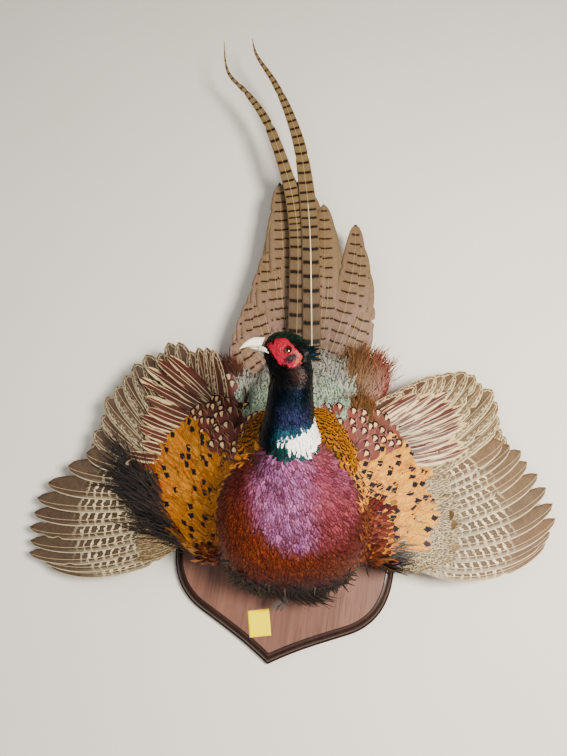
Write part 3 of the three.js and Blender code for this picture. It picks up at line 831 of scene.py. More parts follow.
forward, up, out = on_head(skin_places).T
side = np.sign(out)
from_eye = np.hypot(forward - EYE_AT[0], up - EYE_AT[1])
on_face = averaged((skin_tract == "face").astype(float)[:, None], *skin_edges, rounds=4)[:, 0]
in_head = (skin_places[:, 2] > 190) & (np.abs(out) > 5) & (from_eye < 30)
rise = BUMP_RISE * bumps(skin_places, BUMP_SPACING, 3.0) * soft(from_eye, 5.2, 6.6)
rise += 0.5 * (1 - soft(np.abs(from_eye - 9.5), 0.4, 1.6)) * bumps(skin_places, 4.0, 1.0)
ring = LID_RISE * np.exp(-(((from_eye - LID_RADIUS - 0.9) / 0.75) ** 2))
ring += 0.45 * np.exp(-(((from_eye - LID_RADIUS - 3.2) / 0.7) ** 2))
moved = np.where(in_head, (rise + 0.6) * on_face + ring, 0.0)
skin_places = skin_places + skin_normals * moved[:, None]
opening = in_head & (from_eye < LID_RADIUS)
sunk = 8.5 + 6.0 * (from_eye / LID_RADIUS) ** 6
head_places = on_head(skin_places)
head_places[:, 2] = np.where(opening, side * np.minimum(np.abs(head_places[:, 2]), sunk), head_places[:, 2])
skin_places = HEAD_AT + head_places @ HEAD_AXES
skin_normals = unit(averaged(normals_of(skin_places, skin_faces), *skin_edges, rounds=2))
print("face:", int((on_face > 0.5).sum()), "points,", int(opening.sum()), "behind the eyes")

# %% [markdown]
# ## Finish the skin
# Under the feathers the skin is dry and dull, in the coat's colours but painted darker as painted
# shade, so that a gap between feathers reads as shade. On the face the same finish turns wet-looking
# and scarlet. The skin is unwrapped by its own shape, and the feathers borrow places on that map.

# %% Dry skin, and its unwrap


def dried_skin():
    material, shader = finish("dried_skin", 0.6, specular=0.35)
    pores = add("TexNoise", {"Vector": add("TexCoord").outputs["Object"], "Scale": 900, "Detail": 3})
    shade = add("MapRange", (pores, 0.3, 0.7, 0.72, 1.15))
    shaded = add("VectorMath:SCALE", {"Vector": mark("tint"), "Scale": shade})
    surfaced(shader, shaded.outputs[0], pores, 0.3, 0.0004)
    dullness = level(mark("vane")["X"], 0.2, 0.8, 0.65, 0.48)
    tree.links.new(dullness.outputs[0], shader.inputs["Roughness"])
    return material


skin_colour = colour_of(skin_tract, skin_places)
# painted shade: the skin under the feathers is darkened to 0.45 of its coat colour, the bare face is not
painted_shade_under_feathers = np.where((skin_tract == "face")[:, None], 1.0, 0.45)
bareness = np.stack([on_face, 0 * on_face, 0 * on_face], 1)
marks = {"tint": skin_colour * painted_shade_under_feathers, "vane": bareness}
skin = piece("skin", (skin_places, skin_faces, marks), dried_skin(), "body_plumage", *FLESH)
skin_mesh = skin.data
skin_mesh.uv_layers.new(name=MAP)
bpy.context.view_layer.objects.active = skin
skin.select_set(True)
bpy.ops.object.mode_set(mode="EDIT")
bpy.ops.mesh.select_all(action="SELECT")
bpy.ops.uv.smart_project(angle_limit=math.radians(70), island_margin=0.001)
bpy.ops.object.mode_set(mode="OBJECT")
skin.select_set(False)
skin_map = np.empty(len(skin_mesh.loops) * 2, np.float32)
skin_mesh.uv_layers[MAP].uv.foreach_get("vector", skin_map)
skin_map = skin_map.reshape(-1, 3, 2)
print("unwrap covers", skin_map.min((0, 1)).round(3), "to", skin_map.max((0, 1)).round(3))

# %% [markdown]
# ## Sowing the feathers
# Feathers grow evenly spaced, each tract with its own spacing. Many more places than needed are
# drawn at random on the skin, more where the spacing is close, and then any that falls too near
# one already kept is dropped. What is left is as even as the real thing and never in rows.

# %% Places for the roots
SPACING = {  # mm between roots
    "breast": 2.5, "flank": 8.4, "scapular": 9.4, "rump": 2.8, "fluff": 1.65, "neck": 2.0, "collar": 2.1,
    "head": 1.7, "hackle": 4.0, "dusk": 2.3, "covert": 8.0, "marginal": 5.5, "under": 11.0, "belly": 4.0,
}
NEIGHBOURS = [tuple(step - 1 for step in steps) for steps in np.ndindex(3, 3, 3)]


def kept_apart(places, gap):
    """Which of the places to keep so that no two are nearer than the gap, the first come first."""
    cells = {}
    kept = []
    keys = np.floor(places / gap).astype(int).tolist()
    for index, (i, j, k) in enumerate(keys):
        place = places[index]
        near = [n for di, dj, dk in NEIGHBOURS for n in cells.get((i + di, j + dj, k + dk), ())]
        if near and ((places[near] - place) ** 2).sum(1).min() < gap * gap:
            continue
        cells.setdefault((i, j, k), []).append(index)
        kept.append(index)
    return np.array(kept, int)


def sow(tract, spacing, where=None, crowd=5):
    """Roots for one tract: place, normal, lie and place on the skin's map."""
    corners = skin_places[skin_faces]
    middle_tract = skin_tract[skin_faces[:, 0]]
    area = np.linalg.norm(np.cross(corners[:, 1] - corners[:, 0], corners[:, 2] - corners[:, 0]), axis=1) / 2
    area = area * (middle_tract == tract)
    if where is not None:
        area = area * where(corners.mean(1))
    count = int(crowd * area.sum() / spacing**2)
    chosen = rng.choice(len(area), count, p=area / area.sum())
    share = rng.dirichlet((1, 1, 1), count)
    mixed = [(share[..., None] * values).sum(1) for values in
             (corners[chosen], skin_normals[skin_faces[chosen]], skin_map[chosen])]
    kept = kept_apart(mixed[0], spacing)
    places, normals, spots = (values[kept] for values in mixed)
    normals = unit(normals)
    return places, normals, lie_of(places, normals), spots


def sown(tract, spread, where=None, crowd=5, spacing=None):
    """A tract's roots, and the size of each of its feathers, around 1."""
    roots = sow(tract, spacing or SPACING[tract], where, crowd)
    return roots, rng.normal(1, spread, len(roots[0]))


def together(*sowings):
    """Several sowings as one."""
    return tuple(np.concatenate(values) for values in zip(*sowings))


print("spacing from", min(SPACING.values()), "to", max(SPACING.values()), "mm")

# %% [markdown]
# ## One feather, many times
# Every small feather is a bent, cambered vane with a rounded or pointed tip: a small grid of
# points. Its length, width, lift and curl come in as arrays, one value for each feather, so one
# call makes a whole tract. Each point is marked with its distance from the shaft and from the
# root in mm, and with its distance from the vane's edge, and the finish draws with those.

# %% A tract of vanes
PATCH = 0.003  # each feather's own patch on the skin's map
skin_tree = BVHTree.FromPolygons(skin_places.tolist(), skin_faces.tolist())


def settled(grid, t, clear, stand):
    """Lift points out of the skin, and draw in those that stand too far off it; both in mm at the tip."""
    flat = grid.reshape(-1, 3)
    share = np.broadcast_to(t, grid.shape[:-1]).ravel()
    layer = np.broadcast_to(rng.uniform(0, 0.5, (len(grid), 1, 1)), grid.shape[:-1]).ravel()
    hits = [skin_tree.find_nearest(place)[:2] for place in flat.tolist()]
    near, out = (np.array([tuple(hit[k]) for hit in hits]) for k in (0, 1))
    off = ((flat - near) * out).sum(1)
    low = (clear + layer + 0.6) * share - 0.6
    high = (stand + layer) * share + 0.3
    pull = 1 - soft(off, 4, 9)
    wanted = np.maximum(off + (np.minimum(off, high) - off) * pull, low)
    wanted = np.where(np.abs(off) < 14, wanted, off)
    return (flat + out * (wanted - off)[:, None]).reshape(grid.shape)


def grid_faces(rows, columns):
    """The faces between the points of a grid, row by row."""
    cell = np.arange(columns - 1)[None, :] + columns * np.arange(rows - 1)[:, None]
    return np.stack([cell, cell + 1, cell + columns + 1, cell + columns], -1).reshape(-1, 4)


def repeated(faces, points, count):
    """The same faces for each of a count of grids."""
    return (faces[None] + points * np.arange(count)[:, None, None]).reshape(-1, 4)


def vanes(roots, length, width, *, along=5, across=4, lift=0.25, curl=0.2, camber=0.25, rounding=1.0,
          opening=0.55, taper=0.0, bow=0.0, fray=0.0, jitter=0.12, sink=0.6, clear=1.0, stand=5.0,
          loose=False, tint=None):
    """Vanes on the roots. length and width in mm; lift, curl and bow are shares of the length."""
    places, normals, lie, spots = roots
    count = len(places)
    length, width, lift, curl, bow = (np.broadcast_to(np.asarray(value, float), count)[:, None, None]
                                      for value in (length, width, lift, curl, bow))
    turn = rng.normal(0, jitter, count)[:, None]
    side = np.cross(normals, lie)
    ahead = lie * np.cos(turn) + side * np.sin(turn)
    side = np.cross(normals, ahead)
    share = np.linspace(0, 1, along + 1) ** 0.85
    t = share[None, :, None]
    s = np.linspace(-1, 1, across + 1)[None, None, :]
    half = width / 2 * (opening + (1 - opening) * np.minimum(1, 2.4 * t)) * (1 - taper * t**3)
    ragged = rng.uniform(-1, 1, (count, along + 1, across + 1)) * fray * soft(t, 0.55, 1.0)
    reach = length * t - rounding * half * s**2 * t**2 + ragged * width
    shift = half * s + bow * length * t**2
    rise = lift * length * t - curl * length * t**2 - camber * half * s**2 - sink
    grid = places[:, None, None] + ahead[:, None, None] * reach[..., None]
    grid = grid + side[:, None, None] * shift[..., None] + normals[:, None, None] * rise[..., None]
    grid = grid if loose else settled(grid, t, clear, stand)
    seed = np.broadcast_to(rng.random(count)[:, None, None], reach.shape)
    rim = np.minimum((1 - t) * length, (1 - np.abs(s)) * half)
    vane = np.stack([half * s + 0 * reach, length * t + 0 * reach, seed], -1)
    edge = np.stack([rim + 0 * reach, t + 0 * reach, s + 0 * reach], -1)
    spot = spots[:, None, None] + PATCH * np.stack([s / 2 + 0 * t, t - 0.5 + 0 * s], -1)
    colours = np.broadcast_to(tint[:, None, None], (*reach.shape, 3))
    faces = repeated(grid_faces(along + 1, across + 1), (along + 1) * (across + 1), count)
    flat = (values.reshape(-1, values.shape[-1]) for values in (grid, vane, edge, colours, spot))
    return (*flat, faces)


def gathered(batches):
    """Several batches of places, marks and faces as one; the faces come last in each."""
    starts = np.cumsum([0] + [len(batch[0]) for batch in batches[:-1]])
    *columns, faces = zip(*batches)
    columns = [np.concatenate(values) for values in columns]
    return (*columns, np.concatenate([some + start for some, start in zip(faces, starts)]))


def coat(name, batch, material, slot, *stands_for):
    """A batch of feathers as one piece."""
    places, vane, edge, tint, spot, faces = batch
    shape = places, faces, {"vane": vane, "edge": edge, "tint": tint}, spot
    return piece(name, shape, material, slot, *stands_for)


def grow(name, roots, length, width, material, slot="body_plumage", **shape):
    """A tract's vanes as one piece."""
    return coat(name, vanes(roots, length, width, **shape), material, slot)


def varied(colours, amount=0.16, warmth=0.05):
    """The same colours, a little lighter or darker from feather to feather."""
    value = rng.normal(1, amount, (len(colours), 1))
    return np.clip(colours * value + rng.normal(0, warmth, (len(colours), 3)) * colours, 0, 1)


print("a vane of 5 by 4 has", 5 * 4 * 2, "triangles")

# %% [markdown]
# ## The finish of a feather
# A feather is a flat horn-like web of barbs. It shines a little along the barbs, its foot is painted
# darker as painted shade, and its markings are laid across the web. One function starts every
# feather's finish: the marks as sockets, barbs as fine slanting lines, and the shine. The barbs are
# 1 mm apart here, some four times coarser than real ones, because finer ones don't show.

# %% What every feather's finish starts from
BARB_SPACING = 1.0  # mm
BARB_RELIEF = 0.0005  # metres, as every relief's depth


def web(name, roughness, barbs, **settings):
    """A feather finish and its parts: sockets for the marks, and a socket of barbs around 1."""
    material, shader = finish(name, roughness, **settings)
    vane, edge = mark("vane"), mark("edge")
    away = add("Math:ABSOLUTE", (vane["X"],)).outputs[0]
    slant = add("Math:MULTIPLY_ADD", (away, -1.3, vane["Y"]))
    thread = add("CombineXYZ", (slant, times(away, 0.12), times(vane["Z"], 90.0)))
    fineness = {"Scale": 0.8 / BARB_SPACING, "Detail": 2.0, "Roughness": 0.65}
    lines = add("TexNoise", {"Vector": thread, **fineness})
    shade = add("MapRange", (lines, 0.3, 0.7, 1 - barbs, 1 + barbs))
    return SimpleNamespace(material=material, shader=shader, lines=lines, shade=shade, tint=mark("tint"),
                           away=away, u=vane["X"], v=vane["Y"], seed=vane["Z"], rim=edge["X"], t=edge["Y"],
                           s=edge["Z"])


def coloured(parts, colour):
    """Lay the colour on the web, its foot painted darker as shade, its barbs showing."""
    # painted shade: each feather's foot, the first half of its length, is darker by up to a half, where the
    # feathers over it shade it
    light = times(level(parts.t, 0.0, 0.5, 0.5, 1.0), parts.shade)
    laid = add("VectorMath:SCALE", {"Vector": colour, "Scale": light})
    surfaced(parts.shader, laid.outputs[0], parts.lines, 0.5, BARB_RELIEF)
    return parts.material


def edged_web(name, edge_colour, edge_width, strength, roughness, barbs, **settings):
    """A feather in its own tint with a line of another colour round its tip."""
    parts = web(name, roughness, barbs, **settings)
    line = add("MapRange", (parts.rim, edge_width * 0.5, edge_width, strength, 0.0))
    late = add("MapRange", (parts.t, 0.55, 0.75, 0.0, 1.0))
    return coloured(parts, laid_on(parts.tint, times(line, late), edge_colour))


print("barbs every", BARB_SPACING, "mm")

# %% [markdown]
# ## Breast, belly, neck and head
# The breast's feathers are short, broad and scale-like, copper with a fine black rim. On the neck
# they become narrow, silky and glossy, and on the head they are tiny and lie flat. The belly's
# are loose and dark.

# %% The front of the bird
breast_web = edged_web("breast_web", "#1c0d12", 0.9, 0.6, 0.46, 0.35, specular=0.45,
                       specular_tint="#c56f93")
silky_web = edged_web("silky_neck_web", "#05070c", 0.6, 0.5, 0.36, 0.6, specular=0.45,
                      specular_tint="#6f8fbf")
head_web = edged_web("short_head_web", "#05070c", 0.3, 0.4, 0.42, 0.4, specular=0.2)
snow_web = edged_web("white_collar_web", "#ffffff", 0.6, 0.2, 0.6, 0.12, specular=0.3)
loose_web = edged_web("loose_belly_web", "#120c0c", 1.0, 0.5, 0.6, 0.45, specular=0.35)


def root_tint(tract, roots, *changes):
    """The coat's colour at each root, varied from feather to feather."""
    return varied(colour_of(np.full(len(roots[0]), tract, dtype="<U8"), roots[0]), *changes)


roots, size = sown("breast", 0.08)
x, y, z = roots[0].T
size = size * (1 + 0.25 * soft(-y, 10, 80) + 0.35 * soft(x, 30, 66) * soft(-y, -10, 30))
tint = root_tint("breast", roots, 0.12)
tint = dyed(tint, DYE["maroon"] * 0.8, 0.75 * rng.random(len(tint)) ** 2)
grow("breast_feathers", roots, 15 * size, 4.4 * size, breast_web, across=2, lift=0.11,
     curl=0.05, camber=0.16, fray=0.3, jitter=0.2, taper=0.4, stand=2.2, tint=tint)

roots, size = sown("neck", 0.1)
grow("neck_feathers", roots, 11 * size, 2.8, silky_web, "neck_plumage", along=4, across=2, lift=0.20,
     curl=0.10, camber=0.3, fray=0.15, tint=root_tint("neck", roots, 0.3))

roots, size = sown("collar", 0.12)
size = size * (1 - 0.6 * soft(roots[1][:, 1], 0.0, 0.5))
grow("collar_feathers", roots, 10.5 * size, 2.9, snow_web, "neck_plumage", along=4, across=2, lift=0.20,
     curl=0.10, fray=0.3, taper=0.4, tint=root_tint("collar", roots, 0.04, 0.01))

roots, size = sown("head", 0.12)
grow("head_feathers", roots, 5.4 * size, 2.5, head_web, "neck_plumage", along=3, across=2, lift=0.14,
     curl=0.08, fray=0.12, sink=0.3, clear=0.5, stand=1.4, tint=root_tint("head", roots, 0.3))

roots, size = sown("belly", 0.15)
grow("belly_feathers", roots, 22 * size, 4.5, loose_web, lift=0.22, curl=0.25, fray=0.35,
     jitter=0.35, taper=0.5, tint=root_tint("belly", roots))

roots = together(sow("breast", 3.4, lambda m: (m[:, 2] < 110 - 0.1 * m[:, 0]) & (m[:, 1] < -30)),
                 sow("flank", 4.4, lambda m: (m[:, 1] < -48) & (np.abs(m[:, 0] - 4) < 104)))
size = rng.normal(1, 0.2, len(roots[0]))
tint = dyed(root_tint("breast", roots), "umber", 0.45 + 0.5 * rng.random(len(size)))
tint[rng.random(len(size)) < 0.04] = linear("#54453a")
grow("breast_fringe", roots, 30 * size, 2.6, loose_web, along=6, across=2, lift=0.17,
     curl=0.08, fray=0.35, jitter=0.55, taper=0.6, bow=rng.normal(0, 0.1, len(size)), clear=2.0, tint=tint)

# %% [markdown]
# ## Marks on single feathers
# The patterns of back and flanks repeat because every feather carries the same mark: a cream drop
# under a black arch on the shoulders, a blue-black diamond at the tip on the flanks, black chevrons
# on the hackles, a speck on the rump. Each mark is a short sum of the distance from the shaft
# and the distance from the tip, with a little noise so that no two are alike.

# %% Parts of the patterns


def from_tip(parts):
    """Distance from the feather's tip, in mm, measured along the shaft."""
    share = add("Math:MAXIMUM", (parts.t, 0.05))
    length = add("Math:DIVIDE", (parts.v, share))
    return add("Math:SUBTRACT", (length, parts.v))


def noise_on(parts, scale, stretch=1.0, detail=3):
    """Noise over the vane, different on each feather; stretch draws it out along the shaft."""
    along = add("Math:DIVIDE", (parts.v, stretch))
    place = add("CombineXYZ", (parts.u, along, times(parts.seed, 70)))
    return add("TexNoise", {"Vector": place, "Scale": scale, "Detail": detail, "Roughness": 0.6})


def drop(parts, away, half_across, half_along):
    """0 in the middle of a rounded mark at a distance from the tip, 1 on its outline."""
    wobble = add("Math:SUBTRACT", (noise_on(parts, 0.5), 0.5))
    back = add("Math:SUBTRACT", (from_tip(parts), away))
    along = add("Math:DIVIDE", (back, half_along))
    across = add("Math:DIVIDE", (parts.away, half_across))
    reach = add("VectorMath:LENGTH", (add("CombineXYZ", (across, along, 0.0)),))
    return add("Math:MULTIPLY_ADD", (wobble, 0.7, reach.outputs["Value"])), back


def band(phase, spacing, share, softness=0.25):
    """1 in evenly spaced bars, each covering a share of the spacing."""
    turns = add("Math:FRACT", (add("Math:DIVIDE", (phase, spacing)),))
    middle = add("Math:ABSOLUTE", (add("Math:SUBTRACT", (turns, 0.5)),))
    return level(middle, share / 2 * (1 - softness), share / 2 * (1 + softness), 1.0, 0.0)


print("marks: drop, band, level")

# %% Finishes of the marked tracts


def scapular_material():
    parts = web("arched_scapular_web", 0.5, 0.3, specular=0.35)
    reach, back = drop(parts, 7.6, 2.7, 5.0)
    narrower = add("MapRange", (back, -4.0, 6.0, -0.16, 0.55))
    reach = add("Math:MULTIPLY_ADD", (times(parts.away, narrower), 0.9, reach))
    tipward = level(back, 1.0, 3.0, 1.0, 0.0)
    arch = times(level(reach, 0.95, 1.1), level(reach, 1.5, 1.7, 1.0, 0.0), tipward)
    heart = times(level(reach, 0.8, 1.0, 1.0, 0.0), level(back, -1.0, 6.0, 1.0, 0.3))
    pale_tip = times(level(parts.rim, 0.4, 1.5, 0.75, 0.0), level(parts.t, 0.5, 0.8))
    return coloured(parts, laid_on(parts.tint, pale_tip, "#a98272", heart, "#cdae84", arch, "#1c100f"))


def flank_material(name, rare):
    parts = web(name, 0.52, 0.3, specular=0.3)
    wobble = add("Math:SUBTRACT", (noise_on(parts, 0.45), 0.5))
    back = add("Math:SUBTRACT", (from_tip(parts), 6.0))
    back = add("Math:ABSOLUTE", (back,))
    across = add("Math:DIVIDE", (parts.away, 4.6))
    reach = add("Math:MULTIPLY_ADD", (back, 1 / 6.8, across))
    reach = add("Math:MULTIPLY_ADD", (wobble, 1.3, reach))
    length = add("Math:ADD", (from_tip(parts), parts.v))
    chance = add("Math:MULTIPLY_ADD", (length, 0.02, parts.seed))
    chosen = level(chance, rare, rare + 0.02)
    spot = times(level(reach, 0.85, 1.0, 1.0, 0.0), chosen)
    streak = level(noise_on(parts, 0.4, 14.0), 0.42, 0.66)
    shade = level(noise_on(parts, 0.55, 16.0), 0.46, 0.7)
    glow = times(level(parts.rim, 0.5, 5.0, 0.25, 0.0), level(parts.t, 0.5, 0.9))
    line = times(level(parts.rim, 0.2, 1.2, 0.35, 0.0), level(parts.t, 0.4, 0.7))
    return coloured(parts, laid_on(parts.tint, times(streak, 0.45), "#ddab60", times(shade, 0.5), "#80480f",
                                   glow, "#a8551d", line, "#6b3814", spot, "#171522"))


def hackle_material():
    parts = web("chevroned_hackle_web", 0.58, 0.2, specular=0.2)
    phase = add("Math:MULTIPLY_ADD", (parts.away, 0.8, from_tip(parts)))
    bars = times(band(phase, 6.5, 0.36), level(parts.rim, 0.2, 0.5))
    return coloured(parts, laid_on(parts.tint, bars, "#170f0a"))


def rump_material():
    parts = web("specked_rump_web", 0.5, 0.4, specular=0.4)
    reach = drop(parts, 3.2, 0.8, 1.9)[0]
    speck = times(level(reach, 0.8, 1.1, 1.0, 0.0), level(parts.seed, 0.55, 0.57))
    return coloured(parts, laid_on(parts.tint, speck, "#1d211f"))


def worm_material(name, pale, low, high):
    """Worm-marked feathers: a pale noise over the tint, and a pale edge."""
    parts = web(name, 0.5, 0.15, specular=0.4)
    fine = noise_on(parts, 0.9, 3.5, 2)
    worms = times(level(fine, low, high), 0.55)
    marks = add("Math:MAXIMUM", (worms, level(parts.rim, 0.3, 1.1, 0.7, 0.0)))
    dark_edge = times(level(parts.rim, 0.7, 1.3), level(parts.rim, 1.6, 2.6, 0.45, 0.0))
    return coloured(parts, laid_on(parts.tint, marks, pale, dark_edge, "#3a2a1c"))


def plain_web(name, roughness, barbs, **settings):
    parts = web(name, roughness, barbs, **settings)
    return coloured(parts, parts.tint)


scapular_web, hackle_web, rump_web = scapular_material(), hackle_material(), rump_material()
flank_webs = {"left": flank_material("spotted_flank_web_left", 1.2),
              "right": flank_material("spotted_flank_web_right", 0.92)}
# painted light: lit and shaded copies of one finish, with paler, fuller worm marks on the +X side than on the
# -X side
worm_webs = {"left": worm_material("worm_marked_web_shaded_copy", "#b9a67e", 0.52, 0.60),
             "right": worm_material("worm_marked_web_lit_copy", "#dccda6", 0.48, 0.56)}
hair_web = plain_web("hairlike_rump_web", 0.45, 0.25, specular=0.5)
dusk_web = plain_web("dusky_tuft_web", 0.5, 0.3, specular=0.45)
print("finishes so far:", len(bpy.data.materials))

# %% [markdown]
# ## Back, flanks, rump and wing coverts
# The feathers of the back are laid in the order in which they overlap on the bird: the pale
# lining first, then the wing's small coverts, the rump, the hair-like cover of its sides, the
# shoulders, the flanks with strands and loose breast feathers over them, the dusky tufts, and the
# hackles last. The hair-like ones are blades 0.8 mm wide.

# %% Sow the marked tracts


def near_breast(places):
    """Close to the breast the flank's feathers are short and grow thickly."""
    return breast_distance(places) < 1.22


def off_neck(places):
    return np.hypot((places[:, 0] - 14) / 56, (places[:, 1] - 66) / 62) > 1


def spilled(places):
    """Ragged patches beside the breast, where its feathers run out over the flanks."""
    x, y, z = places.T
    beside = ((x > 16) & (y < 8)) | ((x < -16) & (y < -30))
    return (breast_distance(places + rng.normal(0, 6, places.shape)) < 1.16) & beside


def by_side(roots, middle):
    """The roots left and right of a line, with the side's name."""
    right = roots[0][:, 0] > middle
    for side, chosen in (("left", ~right), ("right", right)):
        if chosen.any():
            yield side, tuple(values[chosen] for values in roots)


roots = sow("under", SPACING["under"], lambda m: m[:, 1] < 130)
tint = root_tint("under", roots)
lining_web = plain_web("pale_lining_web", 0.55, 0.2, specular=0.35)
grow("lining_feathers", roots, 19, 12, lining_web, "wing_coverts", along=4, lift=0.10, curl=0.05, stand=2.5,
     tint=tint)

for tract, length, width in (("covert", 22, 13), ("marginal", 14, 8)):
    for side, kept in by_side(sow(tract, SPACING[tract]), 20):
        size = rng.normal(1, 0.08, len(kept[0]))
        tint = varied(alike("drab", len(size)), 0.1)
        grow(f"{tract}_feathers_{side}", kept, length * size, width, worm_webs[side], "wing_coverts",
             lift=0.18, curl=0.12, fray=0.05, tint=tint)

roots, size = sown("rump", 0.12)
grow("rump_feathers", roots, 15 * size, 2.7, rump_web, "rump_plumage", along=4, across=2, lift=0.2, curl=0.1,
     fray=0.35, jitter=0.2, taper=0.3, tint=root_tint("rump", roots, 0.14))

roots, size = sown("fluff", 0.18, crowd=4)
grow("fluff_feathers", roots, 28 * size, 0.8, hair_web, "rump_plumage", along=6, across=1, lift=0.12,
     curl=0.08, jitter=0.3, taper=0.75, bow=rng.normal(0, 0.10, len(size)),
     tint=root_tint("fluff", roots, 0.25))

roots, size = sown("scapular", 0.07, off_neck)
grow("scapular_feathers", roots, 29 * size, 18.0 * size, scapular_web, along=7, across=6,
     lift=0.17, curl=0.06, camber=0.16, fray=0.02, tint=root_tint("scapular", roots, 0.1))

roots = together(sow("flank", 5.5, near_breast), sow("flank", SPACING["flank"], lambda m: ~near_breast(m)))
for side, kept in by_side(roots, 4):
    grown = soft(breast_distance(kept[0]), 0.95, 1.5) * rng.normal(1, 0.08, len(kept[0]))
    grown = grown * (1 - 0.5 * soft(kept[0][:, 0], 135, 185))
    grow("flank_feathers_" + side, kept, 18 + 26 * grown, 8 + 10 * grown, flank_webs[side],
         along=9, across=8, lift=0.09, curl=0.03, camber=0.06, fray=0.06, jitter=0.14, rounding=0.9,
         clear=0.7, stand=2.8, tint=root_tint("flank", kept, 0.07))

roots, size = sown("flank", 0.25, spacing=5.4)
grow("flank_strands", roots, 22 * size, 0.7, hair_web, across=1, lift=0.15, curl=0.05,
     jitter=0.2, taper=0.7, stand=2.2, bow=rng.normal(0, 0.05, len(size)),
     tint=root_tint("flank", roots, 0.2))

roots, size = sown("flank", 0.18, spilled, spacing=3.2)
tint = dyed("brown", "amber", 0.8 * rng.random(len(size)) ** 1.5)
grow("breast_spill", roots, 17 * size, 4.4, breast_web, along=6, lift=0.12, curl=0.08,
     fray=0.15, jitter=0.35, clear=3.2, stand=6.0, tint=varied(tint, 0.25))

roots = sow("dusk", SPACING["dusk"], crowd=4)
facing = roots[1][:, 2] > 0.3
places, normals, lie, spots = (values[facing] for values in roots)
roots = places, unit(normals + Z), unit(lie * (1, 1, 0) - 0.1 * Z), spots
size = rng.normal(1, 0.22, len(places)) * np.where(places[:, 0] > 0, 0.5, 1.0)
grow("dusky_tufts", roots, 56 * size, 1.2, dusk_web, along=7, across=1, lift=0.24, curl=0.20,
     jitter=0.26, taper=0.75, bow=rng.normal(0, 0.08, len(size)), loose=True,
     tint=root_tint("dusk", roots, 0.45))

roots, size = sown("hackle", 0.08)
grow("hackle_feathers", roots, 15 * size, 8.0, hackle_web, lift=0.17, curl=0.06, fray=0.04,
     clear=3.6, stand=5.6, jitter=0.05, tint=root_tint("hackle", roots, 0.12))

# %% [markdown]
# ## The big feathers
# Wing and tail feathers have a stiff pale shaft and a firm web on each side of it. Each is made as
# one thin closed blade: a grid on top, another half a millimetre under it, and a ridge where the
# shaft runs. Each blade is rolled a little, so that its leading edge lies on the next feather and
# its trailing edge tucks under, as the slats of a blind do. Their roots and tips lie on the same
# curves as in the solids.

# %% Blades along given lines
BLADE_THICKNESS = 0.5


def bent_lines(roots, tips, bends, rows):
    """Quadratic curves from root to tip, bent to one side by a share of their length."""
    along = tips - roots
    across = np.stack([along[:, 1], -along[:, 0]], -1)
    middle = (roots + tips) / 2 + 2 * across * np.asarray(bends)[:, None]
    t = np.linspace(0, 1, rows + 1)[None, :, None]
    return (1 - t) ** 2 * roots[:, None] + 2 * t * (1 - t) * middle[:, None] + t**2 * tips[:, None]


def vane_share(t, pointed):
    """The share of its full width that a blade has along its length."""
    start = 0.9 - 0.42 * pointed
    closing = np.sqrt(np.clip(1 - (np.maximum(t - start, 0) / (1 - start)) ** 2, 0, 1))
    return np.maximum(0.04, np.minimum(1, 0.35 + 2.2 * t) * closing)


def shell_faces(rows, columns):
    """The faces of a thin closed sheet: a grid, the same grid under it, and a wall round the rim."""
    upper, below = grid_faces(rows, columns), rows * columns
    rim = np.concatenate([np.arange(columns), columns * np.arange(1, rows) + columns - 1,
                          columns * (rows - 1) + np.arange(columns - 2, -1, -1),
                          columns * np.arange(rows - 2, 0, -1)])
    after = np.roll(rim, -1)
    walls = np.stack([after, rim, rim + below, after + below], -1)
    return np.concatenate([upper, (upper + below)[:, ::-1], walls])


